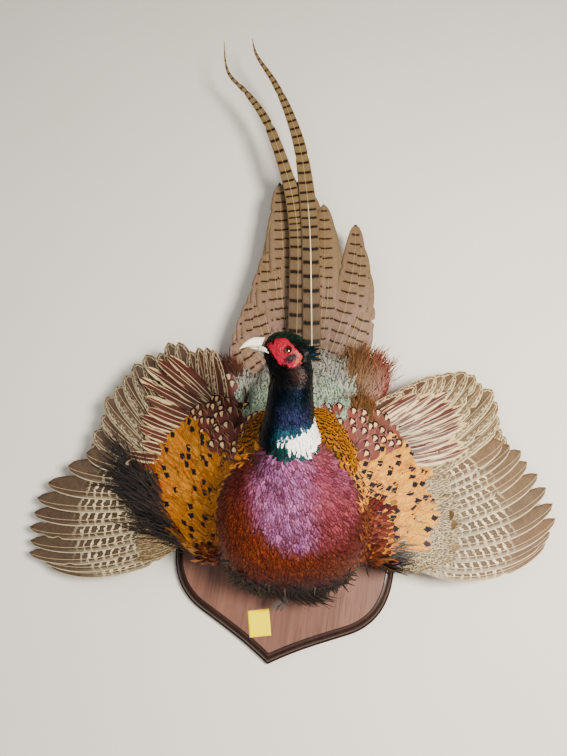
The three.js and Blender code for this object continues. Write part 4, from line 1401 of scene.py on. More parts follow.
def blades(lines, half, height, lead, *, shaft_at=0.0, roll=0.05, camber=0.03, tint, notch=0.0):
    """Closed blades on lines in plan. half: its half width at each row; lead: 1 or -1, the side that
    leads; height: a function of x, y and the feather's number."""
    count, rows = lines.shape[:2]
    ahead = unit(np.gradient(lines, axis=1))
    side = np.stack([ahead[..., 1], -ahead[..., 0]], -1) * lead
    near_shaft = shaft_at + np.array([-0.045, 0, 0.045])
    stations = [np.linspace(-1, shaft_at - 0.10, 6), near_shaft, np.linspace(shaft_at + 0.10, 1, 5)]
    a = np.concatenate(stations)[None, None, :]
    t = np.linspace(0, 1, rows)[None, :, None]
    length = np.linalg.norm(np.diff(lines, axis=1), axis=-1).sum(1)[:, None, None]
    width = half[..., None]
    torn = rng.random((count, rows, 1)) < notch
    pulled = 1 - torn * rng.uniform(0.1, 0.32, (count, rows, 1)) * soft(np.abs(a), 0.6, 1.0)
    shift = a * width * pulled
    plan = lines[:, :, None] + side[:, :, None] * shift[..., None]
    number = np.arange(count)[:, None, None]
    ridge = 0.45 * np.exp(-(((a - shaft_at) / 0.035) ** 2)) * (1 - 0.7 * t)
    wave = 0.35 * np.sin(t * 9 + number * 2.1 + a * 2) * soft(t, 0.2, 0.8)
    top = height(plan[..., 0], plan[..., 1], number) + roll * a * width - camber * width * a**2 + ridge + wave
    thin = BLADE_THICKNESS * (1 - 0.7 * np.abs(a) ** 3)
    columns = a.size
    faces = repeated(shell_faces(rows, columns)[:, ::lead], 2 * rows * columns, count)
    whole = np.zeros((count, rows, columns))
    u = (a - shaft_at) * width + whole
    v = length * t + whole
    seed = rng.random((count, 1, 1)) + whole
    rim = np.minimum((1 - t) * length, (1 - np.abs(a)) * width) + whole
    marks = np.stack([u, v, seed], -1), np.stack([rim, t + whole, a + whole], -1)
    plan, vane, edge = (np.concatenate([values] * 2, 1) for values in (plan, *marks))
    grid = np.concatenate([plan, np.concatenate([top, top - thin], 1)[..., None]], -1)
    strip = 1 / (2 * count)
    across = (number * 2 + 0.08 + 0.84 * (a + 1) / 2) * strip + whole
    spot = np.stack([across, 0.01 + 0.98 * t + whole], -1)
    spot = np.concatenate([spot, spot + (strip, 0)], 1)
    colours = np.broadcast_to(tint[:, None, None], (count, 2 * rows, columns, 3))
    flat = (values.reshape(-1, values.shape[-1]) for values in (grid, vane, edge, colours, spot))
    return (*flat, faces)


print("a blade has", 2 * 28 * 13 * 2, "triangles or so")

# %% [markdown]
# ## Barred quills, and speckled ones
# The wing's outer quills are grey-brown with broken cream bars over the inner two thirds, and
# plain towards the tip. The inner quills are plain in the middle and worm-marked with cream along
# the exposed edge. Bars are drawn from the distance along the shaft, bent by a slow noise, and
# the worm marks are a fine noise cut at a level.

# %% Finishes of the wing quills
QUILL_BAR = 10.5  # mm from bar to bar


def shafted(parts, colour, shaft_colour, half_width, strength=0.85):
    """The pale shaft laid over a colour."""
    thin = level(parts.t, 0.1, 0.9, half_width, half_width * 0.4)
    on_shaft = level(add("Math:DIVIDE", (parts.away, thin)), 0.7, 1.1, strength, 0.0)
    return laid_on(colour, on_shaft, shaft_colour)


def quill_material(name, barred, pale):
    parts = web(name, 0.5, 0.14, specular=0.3)
    slow = noise_on(parts, 0.16, 1.0, 2)
    wavy, broken = noise_on(parts, 0.42, 1.6, 3), noise_on(parts, 0.2, 0.7, 2)
    worm = level(noise_on(parts, 0.5, 2.6, 3), 0.50, 0.57)
    lead_line = level(parts.s, 0.86, 0.94, 0.0, 0.75)
    if barred:
        bent = add("Math:MULTIPLY_ADD", (slow, 6.0, parts.v))
        bent = add("Math:MULTIPLY_ADD", (wavy, 9.0, bent))
        phase = add("Math:MULTIPLY_ADD", (parts.away, 0.35, bent))
        bars = times(band(phase, QUILL_BAR, 0.30), level(broken, 0.36, 0.46, 0.3, 1.0))
        shadow = times(band(phase, QUILL_BAR, 0.62, 0.5), level(parts.t, 0.5, 0.7, 0.75, 0.0))
        trailing = level(parts.s, 0.36, 0.46, 1.0, 0.55)
        inner = level(parts.t, 0.58, 0.72, 1.0, 0.0)
        speckle = times(worm, level(parts.t, 0.15, 0.42, 0.8, 0.0))
        marks = add("Math:MAXIMUM", (times(bars, trailing, inner), speckle))
        streak = times(level(parts.rim, 3.0, 5.0, 1.0, 0.0), level(parts.t, 0.5, 0.8, 0.3, 0.0))
        marks = add("Math:MAXIMUM", (marks, streak))
    else:
        beside = level(parts.s, 0.30, 0.62)
        behind = level(parts.rim, 2.0, 6.0, 1.0, 0.0)
        zone = add("Math:MAXIMUM", (beside, behind))
        rim = level(parts.rim, 0.5, 1.3, 0.8, 0.0)
        course = add("Math:MULTIPLY_ADD", (wavy, 5.0, parts.rim))
        ripple = times(level(course, 6.0, 6.4), level(course, 6.9, 7.4, 0.7, 0.0))
        marks = add("Math:MAXIMUM", (times(worm, zone, 0.5), rim))
        marks = add("Math:MAXIMUM", (marks, ripple))
        shadow = level(parts.rim, 8.0, 14.0, 0.0, 0.35)
    marks = add("Math:MAXIMUM", (marks, lead_line))
    shade = add("MapRange", (slow, 0.3, 0.7, 0.82, 1.15))
    ground = add("VectorMath:SCALE", {"Vector": parts.tint, "Scale": shade}).outputs[0]
    marked = laid_on(ground, shadow, "#3b2a1e", marks, pale)
    return coloured(parts, shafted(parts, marked, "#cdbb94", 0.6))


# painted light: the right copies, on the +X side toward the key lamp, have paler marks than the left
QUILL_WEBS = {
    "wing_left_hand": quill_material("barred_quill_left", True, "#d3c7a8"),
    "wing_right_hand": quill_material("barred_quill_right", True, "#e0d3b2"),
    "wing_left_inner": quill_material("speckled_quill_left", False, "#c2b596"),
    "wing_right_inner": quill_material("speckled_quill_right", False, "#dccda4"),
}
print("quills barred every", QUILL_BAR, "mm")

# %% The wing quills
WING_OUT, WING_HEIGHT, WING_FALL, STACK_STEP = 110, 58, 0.17, 0.5
HAND = dict(count=10, width=(22, 34), pointed=0.7, base=0)
INNER = dict(count=15, width=(32, 34, 32, 20), pointed=(0.3, 0.45, 1.0), uneven=0.03, bow=(0.04, -0.03),
             base=6)
FANS = {
    "wing_left_hand": dict(
        HAND, bow=(0.1, 0), roots=[(-128, -14), (-142, 10), (-148, 40), (-146, 66)],
        tips=[(-308, -36), (-339, -16), (-338, 22), (-324, 64), (-264, 104)]),
    "wing_right_hand": dict(
        HAND, bow=(0.13, 0.02), roots=[(140, -56), (152, -30), (158, 2), (156, 32)],
        tips=[(322, -42), (340, -10), (330, 34), (310, 70), (288, 88)]),
    "wing_left_inner": dict(
        INNER, roots=[(-140, 62), (-112, 84), (-76, 110)],
        tips=[(-260, 116), (-236, 170), (-202, 212), (-158, 240), (-118, 236), (-88, 228)]),
    "wing_right_inner": dict(
        INNER, roots=[(152, 30), (122, 66), (92, 104)],
        tips=[(292, 92), (284, 134), (266, 174), (228, 180), (190, 168), (156, 152)]),
}


def wing_level(base):
    """The height of a fan's feathers: it falls outwards, and each lies on the one before."""
    return lambda x, y, number: (WING_HEIGHT + (base + number) * STACK_STEP
                                 - WING_FALL * (np.abs(x) - WING_OUT))


def fan(name, rows=28, **kind):
    """The quills of one fan: its lines, half widths and which way round it lies."""
    spec = FANS[name]
    sign = -1 if "left" in name else 1
    share = np.linspace(0, 1, spec["count"])
    roots, tips = spline(spec["roots"], share), spline(spec["tips"], share)
    tips = tips + (tips - roots) * rng.normal(0, spec.get("uneven", 0.01), (len(share), 1))
    lines = bent_lines(roots, tips, sign * np.interp(share, (0, 1), spec["bow"]), rows)
    t = np.linspace(0, 1, rows + 1)[None]
    width, pointed = (np.interp(share, np.linspace(0, 1, np.size(values)), np.atleast_1d(values))[:, None]
                      for values in (spec["width"], spec["pointed"]))
    return lines, width / 2 * vane_share(t, pointed), sign, spec["base"]


for name in FANS:
    lines, half, sign, base = fan(name)
    hand = "hand" in name
    # painted light: the +X quills' ground is lighter than the -X quills'
    ground = alike("#55463a" if sign < 0 else "#66513c", len(lines))
    if not hand:
        ground = dyed(ground, "#4c2c20", soft(np.arange(len(lines)), 9, 13))
    tint = varied(ground, 0.08, 0.02)
    batch = blades(lines, half, wing_level(base), sign, shaft_at=0.45 if hand else 0.25, roll=0.07,
                   tint=tint, notch=0.03)
    coat(name + "_quills", batch, QUILL_WEBS[name], "flight_feathers", name)

# %% [markdown]
# ## The tail
# The tail's feathers are graduated, buff with short dark bars on each side of the shaft, mauve
# towards their base. The two long middle ones lie over the rest, darker barred, the bars meeting
# in a chevron over the shaft.

# %% Finishes of the tail
TAIL_BAR = 15.5  # mm from bar to bar


def tail_material(name, bar_spacing, bar_reach, bar_share, slant, shaft, rosy):
    parts = web(name, 0.48, 0.18, specular=0.4)
    slow = noise_on(parts, 0.09, 1.0, 2)
    fine = noise_on(parts, 0.5)
    bent = add("Math:MULTIPLY_ADD", (fine, 3.0, parts.v))
    phase = add("Math:MULTIPLY_ADD", (parts.away, slant, bent))
    side = add("Math:ABSOLUTE", (parts.s,))
    within = level(side, bar_reach, bar_reach + 0.15, 1.0, 0.0)
    bar = times(band(phase, bar_spacing, bar_share, 0.4), within)
    halo = times(band(phase, bar_spacing, bar_share + 0.2, 0.6), within, 0.45)
    low = level(parts.v, 70.0, 200.0, 1.0, 0.12)
    blush = times(level(side, 0.0, 1.0, 0.5, 1.0), low, level(slow, 0.35, 0.6, 0.25, 0.85))
    speck = times(level(fine, 0.55, 0.62), 0.35)
    barred = laid_on(parts.tint, times(blush, rosy), "#94767a", speck, "#6b5236", halo, "#77532e",
                     bar, "#1d130d")
    return coloured(parts, shafted(parts, barred, "#c9b68a", 0.6, shaft))


fan_web = tail_material("barred_tail_web", TAIL_BAR, 0.5, 0.17, -0.12, 0.3, 0.7)
long_web = tail_material("banded_tail_web", TAIL_BAR, 0.8, 0.24, -0.1, 0.45, 0.35)
print("tail barred every", TAIL_BAR, "mm")

# %% The tail feathers
TAIL_ROOT, TAIL_HALF_BASE, TAIL_WIDTH, TAIL_BOW, TAIL_HEIGHT = (30, 174), 24, (34, 44), 0.12, 47
TAIL_TIPS = {
    -1: [(-62, 244), (-56, 264), (-48, 284), (-40, 303), (-30, 322), (-20, 350), (-9, 380), (3, 420),
         (9, 456), (15, 494), (30, 512)],
    1: [(124, 268), (129, 306), (130, 344), (127, 380), (122, 415), (80, 434), (78, 452), (62, 470),
        (48, 500)],
}
TAIL_ROWS, LONG_ROWS = 44, 90  # points along a feather
LONG_WIDTH, WHITE_SHAFT_HEIGHT = 25, 67.2
LONG_FEATHERS = {
    "tail_long_left": (64, [(20, 180), (29, 280), (36, 380), (35, 436), (26, 500), (3, 590), (-25, 648),
                            (-56, 696), (-61, 757)]),
    "tail_long_right": (66.5, [(42, 180), (49, 290), (54, 390), (54, 460), (49, 540), (35, 609), (16, 667),
                               (-9, 722), (-15, 757)]),
}
TAIL_DYE = linear("#766547")
batches = []
for sign, tips in TAIL_TIPS.items():
    share = np.linspace(0, 1, len(tips))
    across = TAIL_ROOT[0] + sign * TAIL_HALF_BASE * (1 - 0.8 * share)
    roots = np.stack([across, np.full(len(tips), TAIL_ROOT[1])], -1)
    lines = bent_lines(roots, np.array(tips, float), sign * TAIL_BOW * (1 - share), TAIL_ROWS)
    t = np.linspace(0, 1, TAIL_ROWS + 1)[None]
    half = np.interp(share, (0, 1), TAIL_WIDTH)[:, None] / 2 * vane_share(t, 0.85)
    tint = varied(dyed(TAIL_DYE, "#7c6553", 0.4 * share), 0.06, 0.03)
    batches.append(blades(lines, half, lambda x, y, number: TAIL_HEIGHT + number * STACK_STEP, sign,
                          roll=-0.03, tint=tint, notch=0.05))
tail = gathered(batches)
half_way = len(batches[0][0])
tail[4][:half_way, 0] *= 0.5
tail[4][half_way:, 0] = 0.5 + 0.5 * tail[4][half_way:, 0]
coat("tail_fan_feathers", tail, fan_web, "tail_feathers", "tail_fan")
shaft_line = spline([(44, 205), (49, 290), (53.6, 380), (54.2, 444)], np.linspace(0, 1, 40))[None]
shaft_half = np.linspace(1.0, 0.5, 40)[None]
shaft = blades(shaft_line, shaft_half, lambda x, y, number: WHITE_SHAFT_HEIGHT, 1, roll=0.0, camber=0.3,
               tint=linear("#e8e0cc")[None])
shaft_web = plain_web("white_shaft", 0.35, 0.05, specular=0.5)
coat("tail_white_shaft", shaft, shaft_web, "tail_feathers")
for name, (height, line) in LONG_FEATHERS.items():
    t = np.linspace(0, 1, LONG_ROWS + 1)
    half = LONG_WIDTH / 2 * np.maximum(0.05, np.minimum(1, 1.5 * (1 - t)))[None]
    batch = blades(spline(line, t)[None], half, lambda x, y, number: height, 1, roll=0.0, camber=0.08,
                   tint=TAIL_DYE[None] * 1.05, notch=0.04)
    coat(name + "_feather", batch, long_web, "tail_feathers", name)

# %% [markdown]
# ## Greater and primary coverts
# Over the roots of the quills lies one more fan of long feathers: chestnut with cream edges on
# the inner wing, worm-marked brown on the hand. They are blades like the quills, only shorter.

# %% The long coverts


def streaked_covert(name, spread):
    parts = web(name, 0.42, 0.16, specular=0.5)
    drawn = noise_on(parts, 0.30, 16.0, 2)
    side = add("Math:ABSOLUTE", (parts.s,))
    pulled = add("Math:MULTIPLY_ADD", (side, -0.30, drawn))
    tipward = add("Math:POWER", (parts.t, 3.0))
    pulled = add("Math:MULTIPLY_ADD", (tipward, -0.16, pulled))
    heart = level(pulled, 0.33 - spread, 0.40 - spread)
    fine = level(noise_on(parts, 0.6, 9.0), 0.5, 0.62, 0.0, 0.5)
    colour = laid_on(opaque("#cdb98f"), fine, "#8d6f4c", heart, parts.tint)
    return coloured(parts, shafted(parts, colour, "#e0d0a8", 0.6))


GREATER = dict(pointed=1.0, bow=(0.05, -0.02), base=20, uneven=0.09)
PRIMARY = dict(pointed=0.8, bow=(0.04, 0), uneven=0.06)
COVERTS = {
    "wing_left_greater": dict(
        GREATER, count=10, width=17, roots=[(-124, 84), (-112, 112), (-98, 138), (-86, 156)],
        tips=[(-196, 96), (-190, 136), (-188, 166), (-176, 204), (-140, 214)]),
    "wing_right_greater": dict(
        GREATER, count=11, width=18, roots=[(146, 64), (146, 88), (134, 104), (112, 112)],
        tips=[(234, 78), (240, 106), (238, 134), (210, 152), (180, 150)]),
    "wing_left_primary": dict(
        PRIMARY, count=14, width=(11, 12), base=5, roots=[(-132, -20), (-144, 10), (-150, 40), (-146, 66)],
        tips=[(-190, -36), (-196, -6), (-194, 30), (-188, 70)]),
    "wing_right_primary": dict(
        PRIMARY, count=13, width=(12, 13), base=6, roots=[(140, -56), (154, -26), (160, 4), (158, 30)],
        tips=[(206, -54), (216, -24), (214, 10), (208, 44)]),
}
FANS.update(COVERTS)
# painted light: the +X coverts show more cream and less chestnut than the -X ones
greater_webs = {"left": streaked_covert("streaked_covert_left", 0.16),
                "right": streaked_covert("streaked_covert_right", 0.09)}
for name in COVERTS:
    lines, half, sign, base = fan(name, rows=18)
    greater = "greater" in name
    # painted light: the +X greater coverts are a lighter chestnut than the -X ones
    colour = ("#52261b" if sign < 0 else "#5a3028") if greater else "#5e4d3a"
    tint = varied(alike(colour, len(lines)), 0.1, 0.03)
    batch = blades(lines, half, wing_level(base), sign, shaft_at=0.1, roll=0.10, camber=0.10, tint=tint,
                   notch=0.08)
    surfaces = greater_webs if greater else worm_webs
    coat(name + "_coverts", batch, surfaces["left" if sign < 0 else "right"], "wing_coverts")

# %% [markdown]
# ## Loose tufts
# Long dark feathers curl out from under the breast onto the board, one small grey one beside
# them, and behind each ear stands a short dark tuft.

# %% Wisps under the breast, and the ear tufts
SIDES = ((1, "left"), (-1, "right"))  # the bird's own sides of the head


def tuft(name, places, ahead, normal, length, width, surface, colours, **shape):
    """A bunch of narrow vanes from given places, all pointing nearly one way."""
    below = [skin_tree.find_nearest(place)[2] for place in places.tolist()]
    facing, lie = (np.tile(unit(np.array(way, float)), (len(places), 1)) for way in (normal, ahead))
    roots = places, facing, lie, skin_map[below].mean(1)
    return grow(name, roots, length, width, surface, tint=colours, loose=True, **shape)


def clump(middle, half_size, count):
    """Places at random in a box."""
    return np.array(middle) + rng.uniform(-1, 1, (count, 3)) * half_size


count = 260
tuft("breast_wisps", clump((2, -72, 84), (20, 4, 9), count), (-0.1, -0.85, -0.5), (0.1, -0.42, 0.9),
     rng.uniform(14, 30, count), 1.3, hair_web, varied(alike("#30241f", count), 0.5), along=12, across=1,
     lift=0.03, curl=0.08, taper=0.6, bow=rng.uniform(0.6, 1.6, count), fray=0.3)
count = 70
tuft("breast_curled_wisps", clump((6, -76, 78), (14, 3, 6), count), (0.1, -0.8, -0.5), (0.1, -0.42, 0.9),
     rng.uniform(26, 36, count), 2.0, hair_web, varied(alike("#1f1714", count), 0.5), along=14, across=1,
     lift=0.03, curl=0.10, taper=0.75, bow=rng.uniform(0.6, 1.15, count), jitter=0.08, fray=0.15)
count = 14
tuft("breast_grey_feather", clump((-4, -80, 66), (5, 2, 2), count), (-0.35, -0.80, -0.48), (0, -0.5, 0.85),
     rng.uniform(26, 36, count), 4.0, hair_web, varied(alike("#5d5350", count), 0.15), along=8, across=2,
     lift=0.0, curl=0.12, taper=0.5, bow=-0.25, fray=0.4)
count = 26
for side, label in SIDES:
    forward, up = rng.uniform(-17, -10, count), rng.uniform(-1, 5, count)
    places = from_head(forward, up, side * rng.uniform(8.5, 9.5, count))
    ahead = -HEAD_AXES[0] + 0.25 * HEAD_AXES[1] + 0.1 * side * HEAD_AXES[2]
    tuft("ear_tuft_" + label, places, ahead, side * HEAD_AXES[2], rng.uniform(9, 16, count), 2.0, silky_web,
         varied(alike("bottle", count), 0.3), along=4, across=2, lift=0.05, curl=0.05, taper=0.6, fray=0.2)

# %% [markdown]
# ## Bill, legs and feet
# These are horn: a smooth ivory bill with a nostril on each side, and grey scaled shanks. Their
# solids are rounded by a fine remesh and smoothed, so every facet goes.

# %% Rounded copies of the horny parts


def rounded(names, voxel, rounds):
    places, faces = arrays_of(run_together(names, 0.0, voxel))
    return averaged(places, *neighbours_of(faces), rounds=rounds), faces


def horn_material(name, roughness, dark, scale, depth, **settings):
    """Horn in its own tint, mottled and finely ribbed."""
    material, shader = finish(name, roughness, **settings)
    mottle = add("TexNoise", {"Vector": add("TexCoord").outputs["Object"], "Scale": scale, "Detail": 4})
    colour = laid_on(mark("tint"), level(mottle, 0.45, 0.75, 0.0, 0.5), dark)
    surfaced(shader, colour, mottle, 0.4, depth)
    return material


def scaled_leg():
    """Rows of flat scales with fine dark seams."""
    material, shader = finish("scaled_leg", 0.45, specular=0.5)
    place = add("TexCoord").outputs["Object"]
    seam = level(add("TexVoronoi", {"Vector": place, "Scale": 420}, feature="DISTANCE_TO_EDGE"), 0.02, 0.12)
    surfaced(shader, laid_on(opaque("#4a423b"), seam, "#9a9086"), seam, 0.6, 0.0004)
    return material


ivory = horn_material("ivory_bill_horn", 0.28, "#c9bd9c", 260, 0.0001, coat_weight=0.3, coat_roughness=0.15)
NOSTRIL = (27.5, 3.6)  # forward and up on the head
for name in ("bill_upper", "bill_lower"):
    places, faces = rounded([name], 0.0006, 4)
    forward, up, out = on_head(places).T
    hole = np.exp(-((forward - NOSTRIL[0]) / 2.4) ** 2 - ((up - NOSTRIL[1]) / 0.9) ** 2)
    hole = hole * (name == "bill_upper")
    places = places - np.sign(out)[:, None] * HEAD_AXES[2] * (1.1 * hole)[:, None]
    base = 1 - soft(forward, 20, 30)
    # painted shade: the nostril's dent is darkened, as the shade inside its opening
    tint = dyed("#efe9d9", "#b7a987", 0.6 * base, "#2e241c", 0.85 * hole)
    piece(name + "_horn", (places, faces, {"tint": tint}), ivory, "bill_horn", name)


def tube_faces(around, rows):
    """Triangles between rings of points, and a fan at each end to one of two last points."""
    ring = np.arange(around)
    after, top = np.roll(ring, -1), around * (rows - 1)
    wall = np.stack([ring, after, after + around, ring + around], 1)
    walls = np.concatenate([wall + around * row for row in range(rows - 1)])
    foot = np.stack([after, ring, np.full(around, top + around)], 1)
    head = np.stack([ring + top, after + top, np.full(around, top + around + 1)], 1)
    return np.concatenate([walls[:, [0, 1, 2]], walls[:, [0, 2, 3]], foot, head])


def limb(line, radii, flat=1.0, around=16, rows=14):
    """A smooth tapering rod along a line; flat squeezes it sideways. Places and faces."""
    share = np.linspace(0, 1, rows)
    middle = spline(line, share)
    radius = np.interp(share, np.linspace(0, 1, len(radii)), radii)
    ahead = unit(np.gradient(middle, axis=0))
    side = unit(np.cross(ahead, Z + 1e-3))
    up = np.cross(side, ahead)
    turn = np.linspace(0, 2 * np.pi, around, endpoint=False)
    ring = side[:, None] * np.cos(turn)[None, :, None] + up[:, None] * np.sin(turn)[None, :, None] * flat
    places = (middle[:, None] + ring * radius[:, None, None]).reshape(-1, 3)
    return np.concatenate([places, middle[[0, -1]]]), tube_faces(around, rows)


GAPE = ((31, -3.2, 3.2), (26, -4.4, 6.4), (21.5, -6.4, 8.9), (17.6, -9.2, 10.4))  # forward, up, out
for side, label in SIDES:
    line = [from_head(forward, up, side * out) for forward, up, out in GAPE]
    places, faces = limb(line, [3.0, 2.9, 2.1, 0.4], 0.55)
    piece("bill_gape_" + label, (places, faces, {"tint": linear("#e9e1cd")}), ivory, "bill_horn")

leg_skin = scaled_leg()
for name in ("leg_left", "leg_right", "foot_left", "foot_right"):
    piece(name + "_scaled", rounded([name], 0.0011, 5), leg_skin, "leg_scales", name)

# %% [markdown]
# ## Claws
# Each toe ends in a dark horn claw, a fifth of the toe's length, curved down to a blunt tip.

# %% Four claws on each foot
claw_horn = horn_material("dark_claw_horn", 0.35, "#120e0b", 300, 0.0001, coat_weight=0.2)
TOE_LENGTH, TOE_CURL, HEEL = 55, 13, (32, 231.6, 31)
for side, label in ((-1, "left"), (1, "right")):
    claws = []
    for turn, size in ((-0.4, 0.86), (0, 1), (0.4, 0.86), (math.pi - 0.6, 0.4)):
        t = np.linspace(0.82, 1.03, 6)
        drop_by = 12 * t if size < 0.5 else TOE_CURL * size * t**2
        reach = TOE_LENGTH * size * t
        line = np.stack([24 + side * HEEL[0] + math.sin(turn) * reach, HEEL[1] + math.cos(turn) * reach,
                         HEEL[2] - drop_by], 1)
        claws.append(limb(line, [3.0, 2.9, 2.4, 1.8, 1.0, 0.3], 1.0, 12, 10))
    places, faces = gathered(claws)
    piece("claws_" + label, (places, faces, {"tint": linear("#3a312a")}), claw_horn, "leg_scales")

# %% [markdown]
# ## Eyes
# A mount's eyes are glass: a black pupil, an amber ring of iris darker towards its rim, and a
# hard clear gloss over both. The ball is as deep as the real one, and the skin's lid lies on it.

# %% Glass eyes


def eye_glass():
    material, shader = finish("eye_glass", 0.08, coat_weight=1.0, coat_roughness=0.02, specular=0.8)
    polar = mark("vane")
    spokes = add("TexNoise", {"Vector": add("CombineXYZ", (polar["Y"], 0.0, 0.0)), "Scale": 14, "Detail": 2})
    iris = laid_on(opaque("#4a2410"), level(spokes, 0.4, 0.65, 0.0, 0.6), "#8a5220")
    pupil, rim = level(polar["X"], 25.0, 28.0), level(polar["X"], 36.0, 44.0)
    surfaced(shader, laid_on(opaque("#040303"), pupil, iris, rim, "#1a0c08"))
    return material


glass = eye_glass()
MERIDIANS, STEPS = 48, 32
for side, label in SIDES:
    turns, rises = np.linspace(0, 2 * np.pi, MERIDIANS + 1)[:-1], np.linspace(0, np.pi, STEPS + 1)
    turn, rise = np.meshgrid(turns, rises, indexing="ij")
    ball = np.stack([np.sin(rise) * np.cos(turn), np.sin(rise) * np.sin(turn), side * np.cos(rise)], -1)
    places = from_head(EYE_AT[0], EYE_AT[1], side * EYE_AT[2]) + EYE_RADIUS * ball.reshape(-1, 3) @ HEAD_AXES
    ring = np.arange(MERIDIANS)[:, None] * (STEPS + 1) + np.arange(STEPS)
    after = np.roll(ring, -1, 0)
    faces = np.stack([ring, ring + 1, after + 1, after], -1).reshape(-1, 4)[:, ::side]
    marks = np.stack([np.degrees(rise), turn, 0 * turn], -1).reshape(-1, 3)
    piece("eye_glass_" + label, (places, faces, {"vane": marks}), glass, "eye_glass", "eye_" + label)

# %% [markdown]
# ## The board and its tag
# A shield cut from board with walnut laminate on its face, and a moulded edge stained dark: a
# square foot, a small step, a cove, and an eased arris. The outline is the solid's own, sampled
# finely. The tag is a square of yellow paper whose lower edge lifts.

# %% Shield plaque
PLAQUE_HEIGHT, PLAQUE_THICKNESS, EDGE_INSET, EDGE_FOOT = 345, 19, 12.5, 7
BEZIERS = [  # the right half from the point at the bottom; y from the bottom
    [(0, 0), (34, 22), (60, 33), (96, 50)],
    [(96, 50), (128, 66), (142.5, 94), (142.5, 132)],
    [(142.5, 132), (142.5, 196), (128.5, 232), (130.5, 284)],
    [(130.5, 284), (134.5, 312), (112, 314), (100, 332)],
    [(100, 332), (70, 326), (32, 330), (0, 345)],
]


def shield(steps):
    """The closed outline, finely sampled, going round to the left."""
    t = np.linspace(0, 1, steps, endpoint=False)[:, None]
    half = []
    for a, b, c, d in np.array(BEZIERS, float):
        half.append((1 - t) ** 3 * a + 3 * t * (1 - t) ** 2 * b + 3 * t**2 * (1 - t) * c + t**3 * d)
    half = np.concatenate(half + [np.array([[0, PLAQUE_HEIGHT]])]) - (0, PLAQUE_HEIGHT / 2)
    return np.concatenate([half, half[-2:0:-1] * (-1, 1)])


def drawn_in(outline, inset):
    before, after = outline - np.roll(outline, 1, 0), np.roll(outline, -1, 0) - outline
    a, b = unit(before), unit(after)
    inward = unit(np.stack([-(a[:, 1] + b[:, 1]), a[:, 0] + b[:, 0]], -1))
    across = (inward * np.stack([-a[:, 1], a[:, 0]], -1)).sum(1)
    drawn = outline + inward * (inset * np.minimum(1.6, 1 / np.maximum(0.3, across)))[:, None]
    crossed = drawn[:, 0] * outline[:, 0] < 0  # the two sides meet at the points
    drawn[:, 0] = np.where(crossed, 0, drawn[:, 0])
    drawn[:, 1] = np.clip(drawn[:, 1], drawn[0, 1], drawn[len(outline) // 2, 1])
    return drawn


outline = shield(22)
turns = np.linspace(0, np.pi / 2, 9)[1:]
LEDGE, BEAD = 2.4, 1.6
profile = [(0, 1.2), (0.3, 0.4), (1.2, 0), (EDGE_FOOT - 0.4, 0), (EDGE_FOOT, 0.3), (EDGE_FOOT + 1, LEDGE)]
rise, draw = PLAQUE_THICKNESS - EDGE_FOOT - 1 - BEAD, EDGE_INSET - LEDGE - BEAD
profile += [(EDGE_FOOT + 1 + rise * math.sin(turn), LEDGE + draw * (1 - math.cos(turn))) for turn in turns]
profile += [(PLAQUE_THICKNESS - 0.45, EDGE_INSET - 0.45), (PLAQUE_THICKNESS, EDGE_INSET)]
face_from = len(profile) - 1
around = len(outline)
rings = [np.concatenate([drawn_in(outline, inset), np.full((around, 1), height)], 1)
         for height, inset in profile]
BACK_MIDDLE, FACE_MIDDLE = np.array([0, -20, 0]), np.array([0, -20, PLAQUE_THICKNESS])
rings += [FACE_MIDDLE + (rings[-1] - FACE_MIDDLE) * share for share in (0.97, 0.7)]
places = np.concatenate(rings + [[BACK_MIDDLE, FACE_MIDDLE]])
triangles = tube_faces(around, len(rings))
face_share = np.repeat(np.arange(len(rings)) >= face_from, around)
face_share = np.concatenate([face_share, [False, True]]).astype(float)
walnut_tint = dyed("#2c160d", "#755246", face_share)


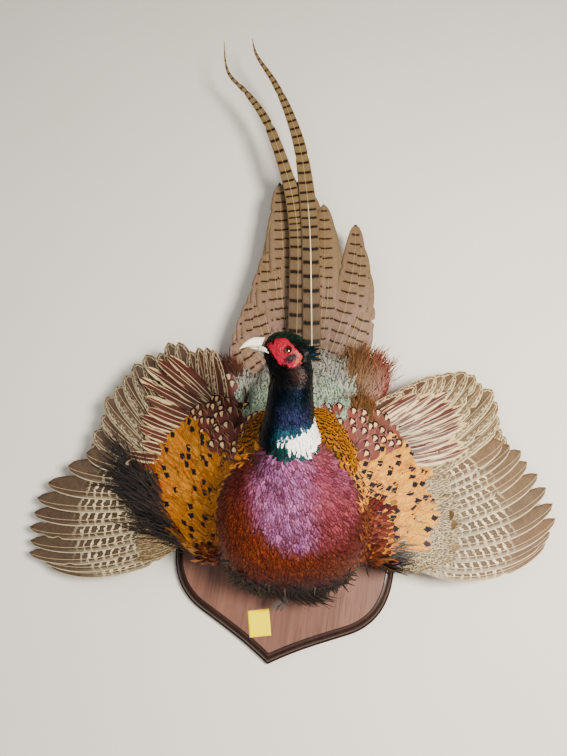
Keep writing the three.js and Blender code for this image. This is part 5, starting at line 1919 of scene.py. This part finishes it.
def walnut_laminate():
    material, shader = finish("walnut_laminate", 0.42, specular=0.4, coat_weight=0.15)
    place = add("TexCoord").outputs["Object"]
    drawn = add("Mapping", {"Vector": place, "Scale": (1.0, 0.035, 1.0)})
    broad = add("TexNoise", {"Vector": drawn, "Scale": 90, "Detail": 3, "Distortion": 0.6})
    grain = add("TexNoise", {"Vector": drawn, "Scale": 520, "Detail": 4, "Roughness": 0.7})
    shade = add("MapRange", (broad, 0.3, 0.7, 0.78, 1.25))
    colour = add("VectorMath:SCALE", {"Vector": mark("tint"), "Scale": shade}).outputs[0]
    pore = level(grain, 0.52, 0.64, 0.0, 0.5)
    surfaced(shader, laid_on(colour, pore, "#4a2c20"), grain, 0.25, 0.0002)
    return material


shape = to_bird(places * MM), triangles, {"tint": walnut_tint}
board = piece("plaque_board", shape, walnut_laminate(), "plaque_board", "plaque")
board.data.set_sharp_from_angle(angle=math.radians(32))

# %% Paper tag
TAG_WIDTH, TAG_HEIGHT, TAG_AT, TAG_TURN, PAPER = 27, 31, (-17, -126), 0.26, 0.25


def tag_paper():
    material, shader = finish("yellow_tag_paper", 0.75, specular=0.3)
    fibre = add("TexNoise", {"Vector": add("TexCoord").outputs["Object"], "Scale": 1500, "Detail": 4})
    surfaced(shader, laid_on(opaque("#efd91c"), fibre, "#f6e63c"), fibre, 0.3, 0.0001)
    return material


TAG_GRID = (13, 15)  # points across and down
across, down = np.meshgrid(*(np.linspace(-1, 1, points) for points in TAG_GRID), indexing="ij")
curl = 2.2 * soft(-down + 0.4 * across, 0.3, 1.6) ** 1.5 + 0.15
flat = np.stack([across * TAG_WIDTH / 2, down * TAG_HEIGHT / 2], -1)
turn = np.array([[math.cos(TAG_TURN), math.sin(TAG_TURN)], [-math.sin(TAG_TURN), math.cos(TAG_TURN)]])
top = (PLAQUE_THICKNESS + PAPER + curl)[..., None]
sheet = np.concatenate([flat @ turn + TAG_AT, top], -1).reshape(-1, 3)
places = np.concatenate([sheet, sheet - (0, 0, PAPER)])
faces = np.roll(shell_faces(*TAG_GRID)[:, ::-1], 1, axis=1)  # turned over: the grid runs the other way
shape = to_bird(places * MM), faces
piece("tag_sheet", shape, tag_paper(), "tag_paper", "tag")

# %% [markdown]
# ## The end
# Last, the view layer is brought up to date.

# %% Finish
bpy.context.view_layer.update()
